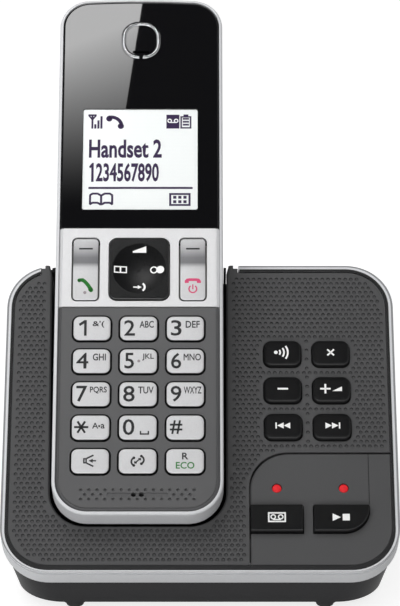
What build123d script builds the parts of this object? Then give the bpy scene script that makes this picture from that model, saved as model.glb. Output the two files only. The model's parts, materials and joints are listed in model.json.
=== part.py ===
"""Cordless phone: a handset docked in a desktop base with an answering machine.

Millimetres. +X is the user's right, +Y points away from the user and +Z is up.
The origin lies on the table, under the middle of the whole set.
"""

import os
from math import cos, radians, sin

from build123d import *

os.makedirs("parts", exist_ok=True)

# Slopes, in degrees from the table
panel_tilt = 37.5
dock_tilt = 42.8

# Shared clearances
overrun = 2.0
slip = 0.15
seam = 0.3
press_gap = 0.1

# Base outline and height
base_width = 112.0
panel_length = 96.45
front_height = 16.05
front_corner = 14.0
back_corner = 13.5

# Silver rim round the base
rim_depth = 7.6
rim_bevel = 0.15
rim_lip = 1.38
rim_wall = 2.2
rim_ledge_width = 2.5
rim_ledge_thickness = 1.5
rim_groove_depth = 0.5
rim_groove_width = 1.2
rim_groove_drop = 0.6

# Perforated top panel
panel_drop = 0.3
panel_thickness = 2.2
panel_chamfer = 0.35
panel_gap = 0.6
well_side_gap = 1.45
well_foot_side_gap = 0.8
well_foot_gap = 0.4
well_shift = -0.37
well_flare = 0.6
well_flare_length = 2.6
well_chamfer = 0.45
well_chamfer_angle = 45.0
tab_width = 2.0
tab_reach = 0.2
rim_notch = 1.45
panel_back_step = 0.8
grille_pitch = 1.67
grille_hole_radius = 0.3
grille_columns = 13
grille_rows = 5

# Soft keys of the answering machine
soft_key_width_share = 0.22582
soft_key_length_share = 0.08191
soft_key_radius = 2.1
soft_key_proud = 1.6
soft_key_edge = 0.6
soft_column_share = 0.48849
soft_column_pitch_share = 0.29612
soft_row_share = 0.459
soft_row_pitch_share = 0.12027
base_key_gap = 0.3
base_flange = 0.7
base_flange_gap = 0.1
base_flange_thickness = 1.2
base_plunger_length = 2.0
base_plunger_radius = 1.5
base_key_travel = 0.8
base_switch_size = 6.0
base_switch_height = 3.0

# Answering panel with its two hard keys and lamps
answer_left_share = 0.13038
answer_top_share = 0.3803
answer_corner = 11.0
answer_gap = 0.4
answer_edge = 0.4
answer_lip_width = 2.0
answer_lip_inner = 1.4
answer_lip_thickness = 1.2
hard_key_v_share = 0.16465
hard_key_length_share = 0.08191
hard_key_width_share = 0.31104
play_key_width_share = 0.33021
hard_key_bridge_share = 0.06604
hard_key_proud = 1.9
hard_key_edge = 0.3
hard_key_sweep_share = 0.8861
lamp_radius = 1.3
lamp_v_share = 0.26532
lamp_left_share = 0.29697
lamp_pitch_share = 0.40051
lamp_drop = 0.1

# Boards, loudspeaker and sockets in the base
base_board_thickness = 1.6
key_board_left_share = 0.10482
key_board_right_share = 0.88453
key_board_front_share = 0.11768
key_board_back_share = 0.74599
board_post_radius_share = 0.03728
board_post_left_share = 0.15595
board_post_right_share = 0.82488
board_post_front_share = 0.44531
board_post_back_share = 0.6423
board_screw_radius_share = 0.01917
screw_head_radius = 2.1
screw_head_thickness = 1.1
board_screw_reach = 4.0
speaker_width_share = 0.66042
speaker_height_share = 0.14101
speaker_thickness = 3.0
speaker_magnet_radius = 4.6
speaker_magnet_depth = 4.0
speaker_x_share = 0.4542
speaker_v_share = 0.83515
speaker_rim = 1.6
main_board_leg_gap = 2.4
main_board_margin = 0.5
main_board_front = 32.0
main_board_lift = 1.2
main_board_peg_radius = 1.5
main_board_peg_inset = 3.0
main_board_back_gap = 2.0
jack_width = 9.0
jack_height = 10.6
jack_depth = 14.0
jack_bore_radius = 2.8
jack_bore_depth = 9.5
jack_pin_radius = 0.95
socket_width = 12.4
socket_height = 12.0
socket_depth = 14.0
socket_mouth_width = 9.8
socket_mouth_height = 6.8
socket_mouth_depth = 11.0
socket_latch_width = 6.2
socket_latch_height = 1.6
socket_spacing = 1.2
socket_clearance = 0.3
socket_recess = 2.0

# Lower shell and feet
foot_height = 2.5
shell_inset = 0.6
shell_wall = 2.0
shell_floor = 2.4
shell_side_draw = 4.4
shell_front_draw = 2.1
shell_back_flare = 5.0
shell_foot_corner = 13.5
foot_radius = 2.5
foot_collar_radius = 3.75
foot_collar_height = 0.9
foot_seat = 1.2
foot_gap = 0.1
foot_x_share = 0.31518
foot_front_margin = 0.1
foot_back_margin = 4.0

# Cradle that holds the docked handset
dock_side_share = 0.20175
dock_v_share = 0.14235
cradle_wall = 1.6
cradle_floor_gap = 0.4
cradle_end_gap = 0.8
cradle_shell_gap = 0.4
leg_radius = 2.6
leg_half_span = 12.0
leg_front_y = 42.0
leg_back_y = 64.0
leg_screw_radius = 1.3
leg_screw_reach = 8.0
leg_head_radius = 2.5
leg_head_thickness = 1.2
screw_play = 0.2

# Charge contacts between cradle and handset
contact_width = 2.4
contact_depth = 2.8
contact_half_span = 8.0
contact_level = 16.8
contact_gap = 0.1
contact_head = 0.6
contact_head_thickness = 0.8
contact_slot_gap = 0.15
terminal_width = 4.2
terminal_depth = 4.4
terminal_thickness = 0.8

# Handset outline
handset_width = 48.0
handset_length = 161.1
handset_thickness = 27.0
top_arch = 0.9
top_corner = 9.0
foot_corner = 10.0

# Silver front frame of the handset
frame_depth = 8.4
frame_edge = 0.85
frame_lip = 0.9
frame_wall = 1.8
frame_ledge_width = 2.1
frame_ledge_thickness = 1.4

# Inlays in the front frame
inlay_drop = 0.2
inlay_thickness = 1.8
inlay_chamfer = 0.75
window_chamfer = 0.5
inlay_groove_inset = 0.75
inlay_groove_width = 0.3
inlay_groove_depth = 0.25
keypad_top_share = 0.38572
window_foot_share = 0.5383

# Display and earpiece
lcd_width_share = 0.7
lcd_height_share = 0.43479
lcd_centre_share = 0.29538
lcd_corner = 0.7
lcd_recess = 0.4
lcd_gap = 0.1
lcd_holder_margin = 2.6
ring_width = 11.4
ring_height = 12.2
ring_radius = 5.0
ring_band = 1.2
ring_sink = 0.6
ring_proud = 0.3
ring_mouth = 1.2
ring_gap = 0.05
ear_share = 0.81487
ear_slot_length = 5.0
ear_slot_width = 0.8
ear_slot_drop = 3.9
receiver_radius = 10.0
receiver_thickness = 3.2

# Number keys
key_width_share = 0.21875
key_height_share = 0.11587
key_radius = 1.75
key_edge = 0.35
key_gap = 0.55
key_proud = 0.8
key_travel = 0.8
key_flange = 0.9
key_flange_gap = 0.1
key_flange_thickness = 0.9
plunger_length = 1.2
plunger_radius = 1.2
column_pitch_share = 0.27625
row_pitch_share = 0.1604
first_row_share = 0.25008
dome_radius = 1.9
dome_height = 0.9

# Rocker keys and navigator
rocker_width_share = 0.15
rocker_length_share = 0.77299
rocker_radius = 1.15
rocker_proud = 0.5
rocker_edge = 0.35
rocker_gap = 0.45
rocker_plunger_length = 1.4
rocker_x_share = 0.31979
function_share = 0.47518
rocker_dome_span = 6.6
fulcrum_width = 5.0
fulcrum_length = 1.2
fulcrum_gap = 0.25
navigator_width_share = 0.35417
navigator_height_share = 0.77299
navigator_radius = 2.2
navigator_proud = 0.6
navigator_edge = 0.4
navigator_dish_radius = 40.0
navigator_dish_depth = 0.75
navigator_dome_span = 6.0
navigator_back_drop = 0.5
navigator_gap = 0.35
navigator_plunger_length = 0.9
pivot_radius = 1.9
pivot_gap = 0.06
pivot_top_gap = 0.25

# Boards and capsules in the handset
handset_board_thickness = 1.2
handset_board_gap = 0.3
mat_thickness = 0.8
mat_hole_gap = 0.3
mic_radius = 3.0
mic_share = 0.09527
mic_half_span = 1.1
mic_hole_radius = 0.68
mic_dot_radius = 0.45
mic_dot_depth = 0.5
mic_dot_pitch_share = 0.046875
mic_dot_columns = 15
mic_row_pitch = 1.36
mic_slot_share = 0.35417
mic_slot_width = 1.05
mic_slot_depth = 0.3
mic_gap = 0.3
handsfree_radius = 11.0
handsfree_thickness = 5.0
handsfree_share = 0.41341
handsfree_slot_length = 12.0
handsfree_slot_width = 1.2
handsfree_slot_pitch = 2.8
handsfree_slots = 5

# Rear case, battery bay and cover
rear_inset = 0.8
rear_wall = 1.6
rear_edge = 7.0
board_rib_thickness = 1.2
board_rib_length = 22.0
board_rib_x = 15.0
board_rib_w = 22.0
cell_radius = 5.25
cell_length = 44.5
cell_gap = 0.15
cell_contact_thickness = 0.4
cell_contact_size = 8.0
bay_centre_share = 0.71757
bay_wall = 2.0
bay_floor = 1.2
bay_headroom = 1.2
cover_thickness = 1.6
cover_ledge = 1.4
cover_radius = 3.0
cover_gap = 0.2
cover_grip_length = 14.0
cover_grip_width = 1.0
cover_grip_depth = 0.5
cover_grip_pitch = 2.2
cover_grips = 4

# Across the base: the cradle's opening, then the room to its right for the keys
well_half_width = handset_width / 2 + well_side_gap
side_room = base_width - 2 * rim_lip - 2 * well_half_width
well_left = -base_width / 2 + rim_lip + side_room * dock_side_share
dock_x = well_left + well_half_width
well_x = dock_x + well_shift
well_right = well_x + well_half_width
key_room = base_width / 2 - rim_lip - well_right
soft_key_width = key_room * soft_key_width_share
soft_column_x = well_right + key_room * soft_column_share
soft_column_pitch = key_room * soft_column_pitch_share
answer_left = well_right + key_room * answer_left_share
hard_key_width = key_room * hard_key_width_share
play_key_width = key_room * play_key_width_share
hard_key_bridge = key_room * hard_key_bridge_share
lamp_left_x = well_right + key_room * lamp_left_share
lamp_pitch = key_room * lamp_pitch_share
key_board_left = well_right + key_room * key_board_left_share
key_board_right = well_right + key_room * key_board_right_share
board_post_radius = key_room * board_post_radius_share
board_post_left_x = well_right + key_room * board_post_left_share
board_post_right_x = well_right + key_room * board_post_right_share
board_screw_radius = key_room * board_screw_radius_share
speaker_width = key_room * speaker_width_share
speaker_x = well_right + key_room * speaker_x_share
main_board_left = dock_x + leg_half_span + leg_radius + main_board_leg_gap
jack_x = main_board_left + main_board_margin + jack_width / 2
socket_x = jack_x + jack_width / 2 + socket_spacing + socket_width / 2
main_board_right = socket_x + socket_width / 2 + main_board_margin
foot_x = base_width * foot_x_share

# Up the base's slope
soft_key_length = panel_length * soft_key_length_share
soft_row_v = panel_length * soft_row_share
soft_row_pitch = panel_length * soft_row_pitch_share
answer_top = panel_length * answer_top_share
hard_key_v = panel_length * hard_key_v_share
hard_key_length = panel_length * hard_key_length_share
hard_key_sweep = hard_key_length * hard_key_sweep_share
lamp_v = panel_length * lamp_v_share
key_board_front = panel_length * key_board_front_share
key_board_back = panel_length * key_board_back_share
board_post_front_v = panel_length * board_post_front_share
board_post_back_v = panel_length * board_post_back_share
speaker_height = panel_length * speaker_height_share
speaker_v = panel_length * speaker_v_share
dock_v = panel_length * dock_v_share

# Up the handset: keypad, function plate, then the window with display and earpiece
keypad_top = handset_length * keypad_top_share
window_foot = handset_length * window_foot_share
plate_length = window_foot - keypad_top
window_length = handset_length - window_foot
key_height = keypad_top * key_height_share
row_pitch = keypad_top * row_pitch_share
first_row_w = keypad_top * first_row_share
mic_w = keypad_top * mic_share
rocker_length = plate_length * rocker_length_share
navigator_height = plate_length * navigator_height_share
function_w = keypad_top + plate_length * function_share
lcd_height = window_length * lcd_height_share
lcd_centre_w = window_foot + window_length * lcd_centre_share
ear_w = window_foot + window_length * ear_share
handsfree_w = handset_length * handsfree_share
bay_centre_w = handset_length * bay_centre_share

# Across the handset
lcd_width = handset_width * lcd_width_share
key_width = handset_width * key_width_share
column_pitch = handset_width * column_pitch_share
rocker_width = handset_width * rocker_width_share
rocker_x = handset_width * rocker_x_share
navigator_width = handset_width * navigator_width_share
mic_dot_pitch = handset_width * mic_dot_pitch_share
mic_slot_length = handset_width * mic_slot_share

# Directions and frames worked out from the sizes above
panel_angle = radians(panel_tilt)
dock_angle = radians(dock_tilt)
lean = dock_angle - panel_angle
dock_rise = frame_depth * cos(lean)
foot_y = dock_v * cos(panel_angle) - dock_rise * sin(panel_angle)
foot_z = front_height + dock_v * sin(panel_angle) + dock_rise * cos(panel_angle)
front_reach = rim_bevel * sin(panel_angle)
rear_straight = handset_length - rear_inset - rear_edge
rear_drop = handset_thickness - rear_edge
rear_reach = foot_y + rear_straight * cos(dock_angle) + rear_drop * sin(dock_angle) + rear_edge
front_y = -(front_reach + rear_reach) / 2

panel_plane = Plane(
    origin=(0, front_y, front_height),
    x_dir=(1, 0, 0),
    z_dir=(0, -sin(panel_angle), cos(panel_angle)),
)
dock_plane = Plane(
    origin=(dock_x, front_y + foot_y, foot_z),
    x_dir=(1, 0, 0),
    z_dir=(0, -sin(dock_angle), cos(dock_angle)),
)
panel_normal = Axis(panel_plane.origin, panel_plane.z_dir)
dock_normal = Axis(dock_plane.origin, dock_plane.z_dir)
dock_length = Axis(dock_plane.origin, dock_plane.y_dir)

# Depths below the handset's front
inlay_back = inlay_drop + inlay_thickness
key_flange_front = inlay_back + key_flange_gap
key_flange_back = key_flange_front + key_flange_thickness
plunger_tip = key_flange_back + plunger_length
dome_front = plunger_tip + key_travel + press_gap
board_front = dome_front + dome_height
board_back = board_front + handset_board_thickness
mat_front = board_front - mat_thickness

# Depths below the base's rim
panel_back = panel_drop + panel_thickness
base_flange_front = panel_back + base_flange_gap
base_flange_back = base_flange_front + base_flange_thickness
base_plunger_tip = base_flange_back + base_plunger_length
switch_front = base_plunger_tip + base_key_travel + press_gap
key_board_front_depth = switch_front + base_switch_height
key_board_back_depth = key_board_front_depth + base_board_thickness


def handset_level(depth):
    """Plane parallel to the handset's front, depth below it."""
    return dock_plane.offset(-depth)


def panel_level(depth):
    """Plane parallel to the base's top, depth below its rim."""
    return panel_plane.offset(-depth)


def save(piece, node):
    """Name a finished piece and write its STEP file."""
    piece.part.label = node
    export_step(piece.part, f"parts/{node}.step")


def handset_outline(inset):
    """Front outline of the handset with an arched top, drawn in by inset."""
    half = handset_width / 2 - inset
    shoulder = handset_length - top_arch - inset
    with BuildSketch() as outline:
        with BuildLine():
            Polyline((-half, shoulder), (-half, inset), (half, inset), (half, shoulder))
            ThreePointArc((half, shoulder), (0, handset_length - inset), (-half, shoulder))
        make_face()
        fillet(outline.vertices().group_by(Axis.Y)[0], foot_corner - inset)
        fillet(outline.vertices().group_by(Axis.Y)[-1], top_corner - inset)
    return outline.sketch


def handset_band(inset, low, high):
    """The part of the handset's outline between two distances from its foot."""
    with BuildSketch() as band:
        add(handset_outline(inset))
        with Locations((0, (low + high) / 2)):
            Rectangle(handset_width, high - low, mode=Mode.INTERSECT)
    return band.sketch


def inlay_groove(low, high):
    """Thin line just inside the edge of an inlay, between two distances from the foot."""
    line = frame_lip + slip + inlay_groove_inset
    with BuildSketch() as groove:
        add(handset_band(line, low, high))
        add(handset_outline(line + inlay_groove_width), mode=Mode.SUBTRACT)
    return groove.sketch


def panel_outline(inset):
    """Rounded outline of the base's top, drawn in by inset."""
    half = base_width / 2 - inset
    back = panel_length - inset
    with BuildSketch() as outline:
        with BuildLine():
            Polyline((-half, inset), (half, inset), (half, back), (-half, back), close=True)
        make_face()
        fillet(outline.vertices().group_by(Axis.Y)[0], front_corner - inset)
        fillet(outline.vertices().group_by(Axis.Y)[-1], back_corner - inset)
    return outline.sketch


# Places of the handset's keys, by node name
number_key_rows = [
    ("key_speaker", "key_intercom", "key_recall"),
    ("key_star", "key_0", "key_hash"),
    ("key_7", "key_8", "key_9"),
    ("key_4", "key_5", "key_6"),
    ("key_1", "key_2", "key_3"),
]
number_key_places = {
    node: ((column - 1) * column_pitch, first_row_w + row * row_pitch)
    for row, nodes in enumerate(number_key_rows)
    for column, node in enumerate(nodes)
}
rocker_places = {"talk_key": (-rocker_x, function_w), "end_key": (rocker_x, function_w)}
rocker_dome_places = [
    (x, w + end * rocker_dome_span) for x, w in rocker_places.values() for end in (-1, 1)
]
navigator_dome_places = [(end * navigator_dome_span, function_w) for end in (-1, 1)]
navigator_dome_places += [(0, function_w + end * navigator_dome_span) for end in (-1, 1)]
dome_places = list(number_key_places.values()) + rocker_dome_places + navigator_dome_places

# Silver front frame: a deep ring with an inner ledge that carries the inlays
with BuildPart() as front_frame:
    with BuildSketch(handset_level(frame_depth)):
        add(handset_outline(0))
    extrude(amount=frame_depth)
    fillet(front_frame.faces().sort_by(dock_normal)[-1].edges(), frame_edge)
    with BuildSketch(dock_plane):
        add(handset_outline(frame_lip))
    extrude(amount=-inlay_back, mode=Mode.SUBTRACT)
    with BuildSketch(dock_plane):
        add(handset_outline(frame_lip + frame_ledge_width))
    extrude(amount=-frame_depth, mode=Mode.SUBTRACT)
    with BuildSketch(handset_level(frame_depth)):
        add(handset_outline(frame_wall))
    extrude(amount=frame_depth - inlay_back - frame_ledge_thickness, mode=Mode.SUBTRACT)
save(front_frame, "front_frame")

# Black display window with its screen opening, earpiece ring groove and sound slot
with BuildPart() as display_window:
    with BuildSketch(handset_level(inlay_back)):
        add(handset_band(frame_lip + slip, window_foot + seam / 2, handset_length))
    extrude(amount=inlay_thickness)
    window_edges = display_window.faces().sort_by(dock_normal)[-1].edges()
    chamfer(window_edges.sort_by(dock_length)[1:], window_chamfer)
    with BuildSketch(handset_level(inlay_back)):
        with Locations((0, lcd_centre_w)):
            RectangleRounded(lcd_width, lcd_height, lcd_corner)
        with Locations((0, ear_w - ear_slot_drop)):
            SlotOverall(ear_slot_length, ear_slot_width)
    extrude(amount=inlay_thickness, mode=Mode.SUBTRACT)
    with BuildSketch(handset_level(inlay_drop)):
        with Locations((0, ear_w)):
            RectangleRounded(ring_width + 2 * ring_gap, ring_height + 2 * ring_gap, ring_radius)
            RectangleRounded(
                ring_width - 2 * ring_band - 2 * ring_gap,
                ring_height - 2 * ring_band - 2 * ring_gap,
                ring_radius - ring_band,
                mode=Mode.SUBTRACT,
            )
    extrude(amount=-ring_sink, mode=Mode.SUBTRACT)
save(display_window, "display_window")

# Bright open ring round the earpiece
with BuildPart() as earpiece_ring:
    with BuildSketch(handset_level(inlay_drop + ring_sink)):
        with Locations((0, ear_w)):
            RectangleRounded(ring_width, ring_height, ring_radius)
            RectangleRounded(
                ring_width - 2 * ring_band,
                ring_height - 2 * ring_band,
                ring_radius - ring_band,
                mode=Mode.SUBTRACT,
            )
        with Locations((0, ear_w - ring_height / 2)):
            Rectangle(ring_mouth, ring_height / 2, mode=Mode.SUBTRACT)
    extrude(amount=ring_sink + ring_proud)
save(earpiece_ring, "earpiece_ring")

# Display glass, sunk a little in the window, on a holder that stands on the board
with BuildPart() as lcd_glass:
    with BuildSketch(handset_level(inlay_back)):
        with Locations((0, lcd_centre_w)):
            RectangleRounded(lcd_width - 2 * lcd_gap, lcd_height - 2 * lcd_gap, lcd_corner - lcd_gap)
    extrude(amount=inlay_thickness - lcd_recess)
save(lcd_glass, "lcd_glass")

with BuildPart() as lcd_holder:
    with BuildSketch(handset_level(board_front)):
        with Locations((0, lcd_centre_w)):
            RectangleRounded(
                lcd_width + 2 * lcd_holder_margin,
                lcd_height + 2 * lcd_holder_margin,
                lcd_holder_margin,
            )
    extrude(amount=board_front - inlay_back)
save(lcd_holder, "lcd_holder")

# Earpiece receiver behind the window
with BuildPart() as receiver:
    with BuildSketch(handset_level(inlay_back)):
        with Locations((0, ear_w)):
            Circle(receiver_radius)
    extrude(amount=-receiver_thickness)
save(receiver, "receiver")

# Bright function plate round the navigator and the two rockers
with BuildPart() as function_plate:
    with BuildSketch(handset_level(inlay_back)):
        add(handset_band(frame_lip + slip, keypad_top + seam / 2, window_foot - seam / 2))
        with Locations(*rocker_places.values()):
            RectangleRounded(
                rocker_width + 2 * rocker_gap,
                rocker_length + 2 * rocker_gap,
                rocker_radius + rocker_gap,
                mode=Mode.SUBTRACT,
            )
        with Locations((0, function_w)):
            RectangleRounded(
                navigator_width + 2 * navigator_gap,
                navigator_height + 2 * navigator_gap,
                navigator_radius + navigator_gap,
                mode=Mode.SUBTRACT,
            )
    extrude(amount=inlay_thickness)
    side_edges = function_plate.faces().sort_by(dock_normal)[-1].edges().sort_by(Axis.X)
    chamfer([side_edges[0], side_edges[-1]], inlay_chamfer)
    with BuildSketch(handset_level(inlay_drop)):
        add(inlay_groove(keypad_top, window_foot))
    extrude(amount=-inlay_groove_depth, mode=Mode.SUBTRACT)
save(function_plate, "function_plate")

# Grey keypad panel with its key openings and the pierced microphone field
mic_dot_half = (mic_dot_columns - 1) / 2
mic_dots = [
    ((column - mic_dot_half) * mic_dot_pitch, mic_w + side * mic_row_pitch)
    for side in (-1, 1)
    for column in range(mic_dot_columns)
]
mic_dots += [
    ((column + 0.5 - mic_dot_half) * mic_dot_pitch, mic_w)
    for column in range(mic_dot_columns - 1)
    if abs((column + 0.5 - mic_dot_half) * mic_dot_pitch) > mic_slot_length / 2 + mic_dot_radius
]
with BuildPart() as keypad_panel:
    with BuildSketch(handset_level(inlay_back)):
        add(handset_band(frame_lip + slip, 0, keypad_top - seam / 2))
        with Locations(*number_key_places.values()):
            RectangleRounded(
                key_width + 2 * key_gap,
                key_height + 2 * key_gap,
                key_radius + key_gap,
                mode=Mode.SUBTRACT,
            )
        with Locations((-mic_half_span, mic_w), (mic_half_span, mic_w)):
            Circle(mic_hole_radius, mode=Mode.SUBTRACT)
    extrude(amount=inlay_thickness)
    rim_edges = keypad_panel.faces().sort_by(dock_normal)[-1].outer_wire().edges()
    chamfer(rim_edges.sort_by(dock_length)[:-1], inlay_chamfer)
    with BuildSketch(handset_level(inlay_drop)):
        add(inlay_groove(0, keypad_top))
    extrude(amount=-inlay_groove_depth, mode=Mode.SUBTRACT)
    with BuildSketch(handset_level(inlay_drop)):
        with Locations(*mic_dots):
            Circle(mic_dot_radius)
    extrude(amount=-mic_dot_depth, mode=Mode.SUBTRACT)
    with BuildSketch(handset_level(inlay_drop)):
        with Locations((0, mic_w)):
            SlotOverall(mic_slot_length, mic_slot_width)
    extrude(amount=-mic_slot_depth, mode=Mode.SUBTRACT)
save(keypad_panel, "keypad_panel")

# Number keys: a cap, a flange that keeps it under the panel and a plunger
for node, place in number_key_places.items():
    with BuildPart() as number_key:
        with BuildSketch(handset_level(key_flange_front)):
            with Locations(place):
                RectangleRounded(key_width, key_height, key_radius)
        extrude(amount=key_flange_front - inlay_drop + key_proud)
        fillet(number_key.faces().sort_by(dock_normal)[-1].edges(), key_edge)
        with BuildSketch(handset_level(key_flange_back)):
            with Locations(place):
                RectangleRounded(
                    key_width + 2 * key_flange,
                    key_height + 2 * key_flange,
                    key_radius + key_flange,
                )
        extrude(amount=key_flange_thickness)
        with BuildSketch(handset_level(plunger_tip)):
            with Locations(place):
                Circle(plunger_radius)
        extrude(amount=plunger_length)
    save(number_key, node)

# Rocker keys: soft key and talk on the left, soft key and end on the right
for node, place in rocker_places.items():
    with BuildPart() as rocker_key:
        with BuildSketch(handset_level(key_flange_back)):
            with Locations(place):
                RectangleRounded(rocker_width, rocker_length, rocker_radius)
        extrude(amount=key_flange_back - inlay_drop + rocker_proud)
        fillet(rocker_key.faces().sort_by(dock_normal)[-1].edges(), rocker_edge)
        with BuildSketch(handset_level(key_flange_back)):
            with Locations(*[(place[0], place[1] + end * rocker_dome_span) for end in (-1, 1)]):
                Circle(plunger_radius)
        extrude(amount=-rocker_plunger_length)
    save(rocker_key, node)

# Dished navigator that tilts four ways on a ball-footed pivot
navigator_back = key_flange_back + navigator_back_drop
navigator_front = navigator_proud - inlay_drop
pivot_depth = board_front - pivot_gap - pivot_radius
with BuildPart() as navigator_key:
    with BuildSketch(handset_level(navigator_back)):
        with Locations((0, function_w)):
            RectangleRounded(navigator_width, navigator_height, navigator_radius)
    extrude(amount=navigator_back + navigator_front)
    fillet(navigator_key.faces().sort_by(dock_normal)[-1].edges(), navigator_edge)
    dish_plane = dock_plane.offset(navigator_front - navigator_dish_depth + navigator_dish_radius)
    with Locations(dish_plane):
        with Locations((0, function_w)):
            Sphere(navigator_dish_radius, mode=Mode.SUBTRACT)
    with BuildSketch(handset_level(navigator_back)):
        with Locations(*navigator_dome_places):
            Circle(plunger_radius)
    extrude(amount=-navigator_plunger_length)
save(navigator_key, "navigator_key")

with BuildPart() as navigator_pivot:
    with Locations(handset_level(pivot_depth)):
        with Locations((0, function_w)):
            Sphere(pivot_radius)
    split(bisect_by=handset_level(navigator_back + pivot_top_gap), keep=Keep.BOTTOM)
save(navigator_pivot, "navigator_pivot")

# Circuit board of the handset
with BuildPart() as handset_board:
    with BuildSketch(handset_level(board_back)):
        add(handset_outline(frame_wall + handset_board_gap))
    extrude(amount=handset_board_thickness)
save(handset_board, "handset_board")

# Snap domes on the board, one under each key position
with BuildPart() as key_domes:
    with BuildSketch(handset_level(board_front)):
        with Locations(*dome_places):
            Circle(dome_radius)
    extrude(amount=dome_height)
save(key_domes, "key_domes")

# Silicone mat round the domes, with a fulcrum rib under each rocker
mic_capsule_w = frame_lip + frame_ledge_width + mic_gap + mic_radius
mat_low = mic_capsule_w + mic_radius + mic_gap
mat_high = function_w + navigator_height / 2
mat_half = handset_width / 2 - frame_lip - frame_ledge_width - slip
with BuildPart() as keypad_mat:
    with BuildSketch(handset_level(board_front)):
        with Locations((0, (mat_low + mat_high) / 2)):
            Rectangle(2 * mat_half, mat_high - mat_low)
        with Locations(*dome_places):
            Circle(dome_radius + mat_hole_gap, mode=Mode.SUBTRACT)
        with Locations((0, function_w)):
            Circle(pivot_radius + mat_hole_gap, mode=Mode.SUBTRACT)
    extrude(amount=mat_thickness)
    with BuildSketch(handset_level(mat_front)):
        with Locations(*rocker_places.values()):
            Rectangle(fulcrum_width, fulcrum_length)
    extrude(amount=mat_front - key_flange_back - fulcrum_gap)
save(keypad_mat, "keypad_mat")

# Microphone capsule between the keypad panel and the board
with BuildPart() as microphone:
    with BuildSketch(handset_level(board_front)):
        with Locations((0, mic_capsule_w)):
            Circle(mic_radius)
    extrude(amount=board_front - inlay_back)
save(microphone, "microphone")

# Battery bay sizes
bay_width = 4 * cell_radius + 3 * cell_gap
bay_length = cell_length + 2 * cell_contact_thickness + 4 * cell_gap
bay_cover_front = handset_thickness - cover_thickness
cell_level = bay_cover_front - bay_headroom - cell_radius
bay_front = cell_level - cell_radius - cell_gap
cover_width = bay_width + 2 * cover_ledge
cover_length = bay_length + 2 * cover_ledge


def rear_hollow():
    """Room inside the handset's rear case."""
    with BuildPart() as hollow:
        with BuildSketch(handset_level(frame_depth)):
            add(handset_outline(rear_inset + rear_wall))
        extrude(amount=-(handset_thickness - frame_depth - rear_wall))
        fillet(hollow.faces().sort_by(dock_normal)[0].edges(), rear_edge - rear_wall)
    return hollow.part


# Rear case: a rounded tub with the battery bay, board ribs, speaker slots and terminals
with BuildPart() as rear_case:
    with BuildSketch(handset_level(frame_depth)):
        add(handset_outline(rear_inset))
    extrude(amount=-(handset_thickness - frame_depth))
    fillet(rear_case.faces().sort_by(dock_normal)[0].edges(), rear_edge)
    add(rear_hollow(), mode=Mode.SUBTRACT)
    with BuildSketch(handset_level(bay_front - bay_floor)):
        with Locations((0, bay_centre_w)):
            Rectangle(cover_width + 2 * bay_wall, cover_length + 2 * bay_wall)
    extrude(amount=-(handset_thickness - rear_wall - bay_front + bay_floor))
    with BuildSketch(handset_level(bay_front)):
        with Locations((0, bay_centre_w)):
            Rectangle(bay_width, bay_length)
    extrude(amount=-handset_thickness, mode=Mode.SUBTRACT)
    with BuildSketch(handset_level(bay_cover_front)):
        with Locations((0, bay_centre_w)):
            RectangleRounded(cover_width + 2 * cover_gap, cover_length + 2 * cover_gap, cover_radius)
    extrude(amount=-handset_thickness, mode=Mode.SUBTRACT)
    with BuildSketch(handset_level(board_back)):
        with Locations((-board_rib_x, board_rib_w), (board_rib_x, board_rib_w)):
            Rectangle(board_rib_thickness, board_rib_length)
    extrude(amount=-(handset_thickness - rear_wall - board_back))
    slot_half = (handsfree_slots - 1) / 2
    slot_rows = [(0, handsfree_w + (i - slot_half) * handsfree_slot_pitch) for i in range(handsfree_slots)]
    with BuildSketch(handset_level(handset_thickness)):
        with Locations(*slot_rows):
            SlotOverall(handsfree_slot_length, handsfree_slot_width)
    extrude(amount=2 * rear_wall, both=True, mode=Mode.SUBTRACT)
    with BuildSketch(Plane(dock_plane.origin, dock_plane.x_dir, dock_plane.y_dir)):
        with Locations((-contact_half_span, contact_level), (contact_half_span, contact_level)):
            Rectangle(terminal_width, terminal_depth)
    extrude(amount=rear_inset + terminal_thickness, mode=Mode.SUBTRACT)
save(rear_case, "handset_rear_case")

# Charge terminals set flush in the foot of the rear case
foot_end = Plane(dock_plane.origin, dock_plane.x_dir, dock_plane.y_dir)
with BuildPart() as charge_terminals:
    with BuildSketch(foot_end.offset(rear_inset)):
        with Locations((-contact_half_span, contact_level), (contact_half_span, contact_level)):
            Rectangle(terminal_width, terminal_depth)
    extrude(amount=terminal_thickness)
save(charge_terminals, "charge_terminals")

# Hands-free loudspeaker on the inside of the rear case
with BuildPart() as handsfree_speaker:
    with BuildSketch(handset_level(handset_thickness - rear_wall)):
        with Locations((0, handsfree_w)):
            Circle(handsfree_radius)
    extrude(amount=handsfree_thickness)
save(handsfree_speaker, "handsfree_speaker")

# Two rechargeable cells side by side, with a contact plate at each end
cell_x = cell_radius + cell_gap / 2
with BuildPart() as battery_cells:
    with BuildSketch(foot_end.offset(bay_centre_w - cell_length / 2)):
        with Locations((-cell_x, cell_level), (cell_x, cell_level)):
            Circle(cell_radius)
    extrude(amount=cell_length)
save(battery_cells, "battery_cells")

with BuildPart() as battery_contacts:
    with BuildSketch(foot_end.offset(bay_centre_w - bay_length / 2)):
        with Locations((-cell_x, cell_level), (cell_x, cell_level)):
            Rectangle(cell_contact_size, cell_contact_size)
    extrude(amount=cell_contact_thickness)
    with BuildSketch(foot_end.offset(bay_centre_w + bay_length / 2)):
        with Locations((-cell_x, cell_level), (cell_x, cell_level)):
            Rectangle(cell_contact_size, cell_contact_size)
    extrude(amount=-cell_contact_thickness)
save(battery_contacts, "battery_contacts")

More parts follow.
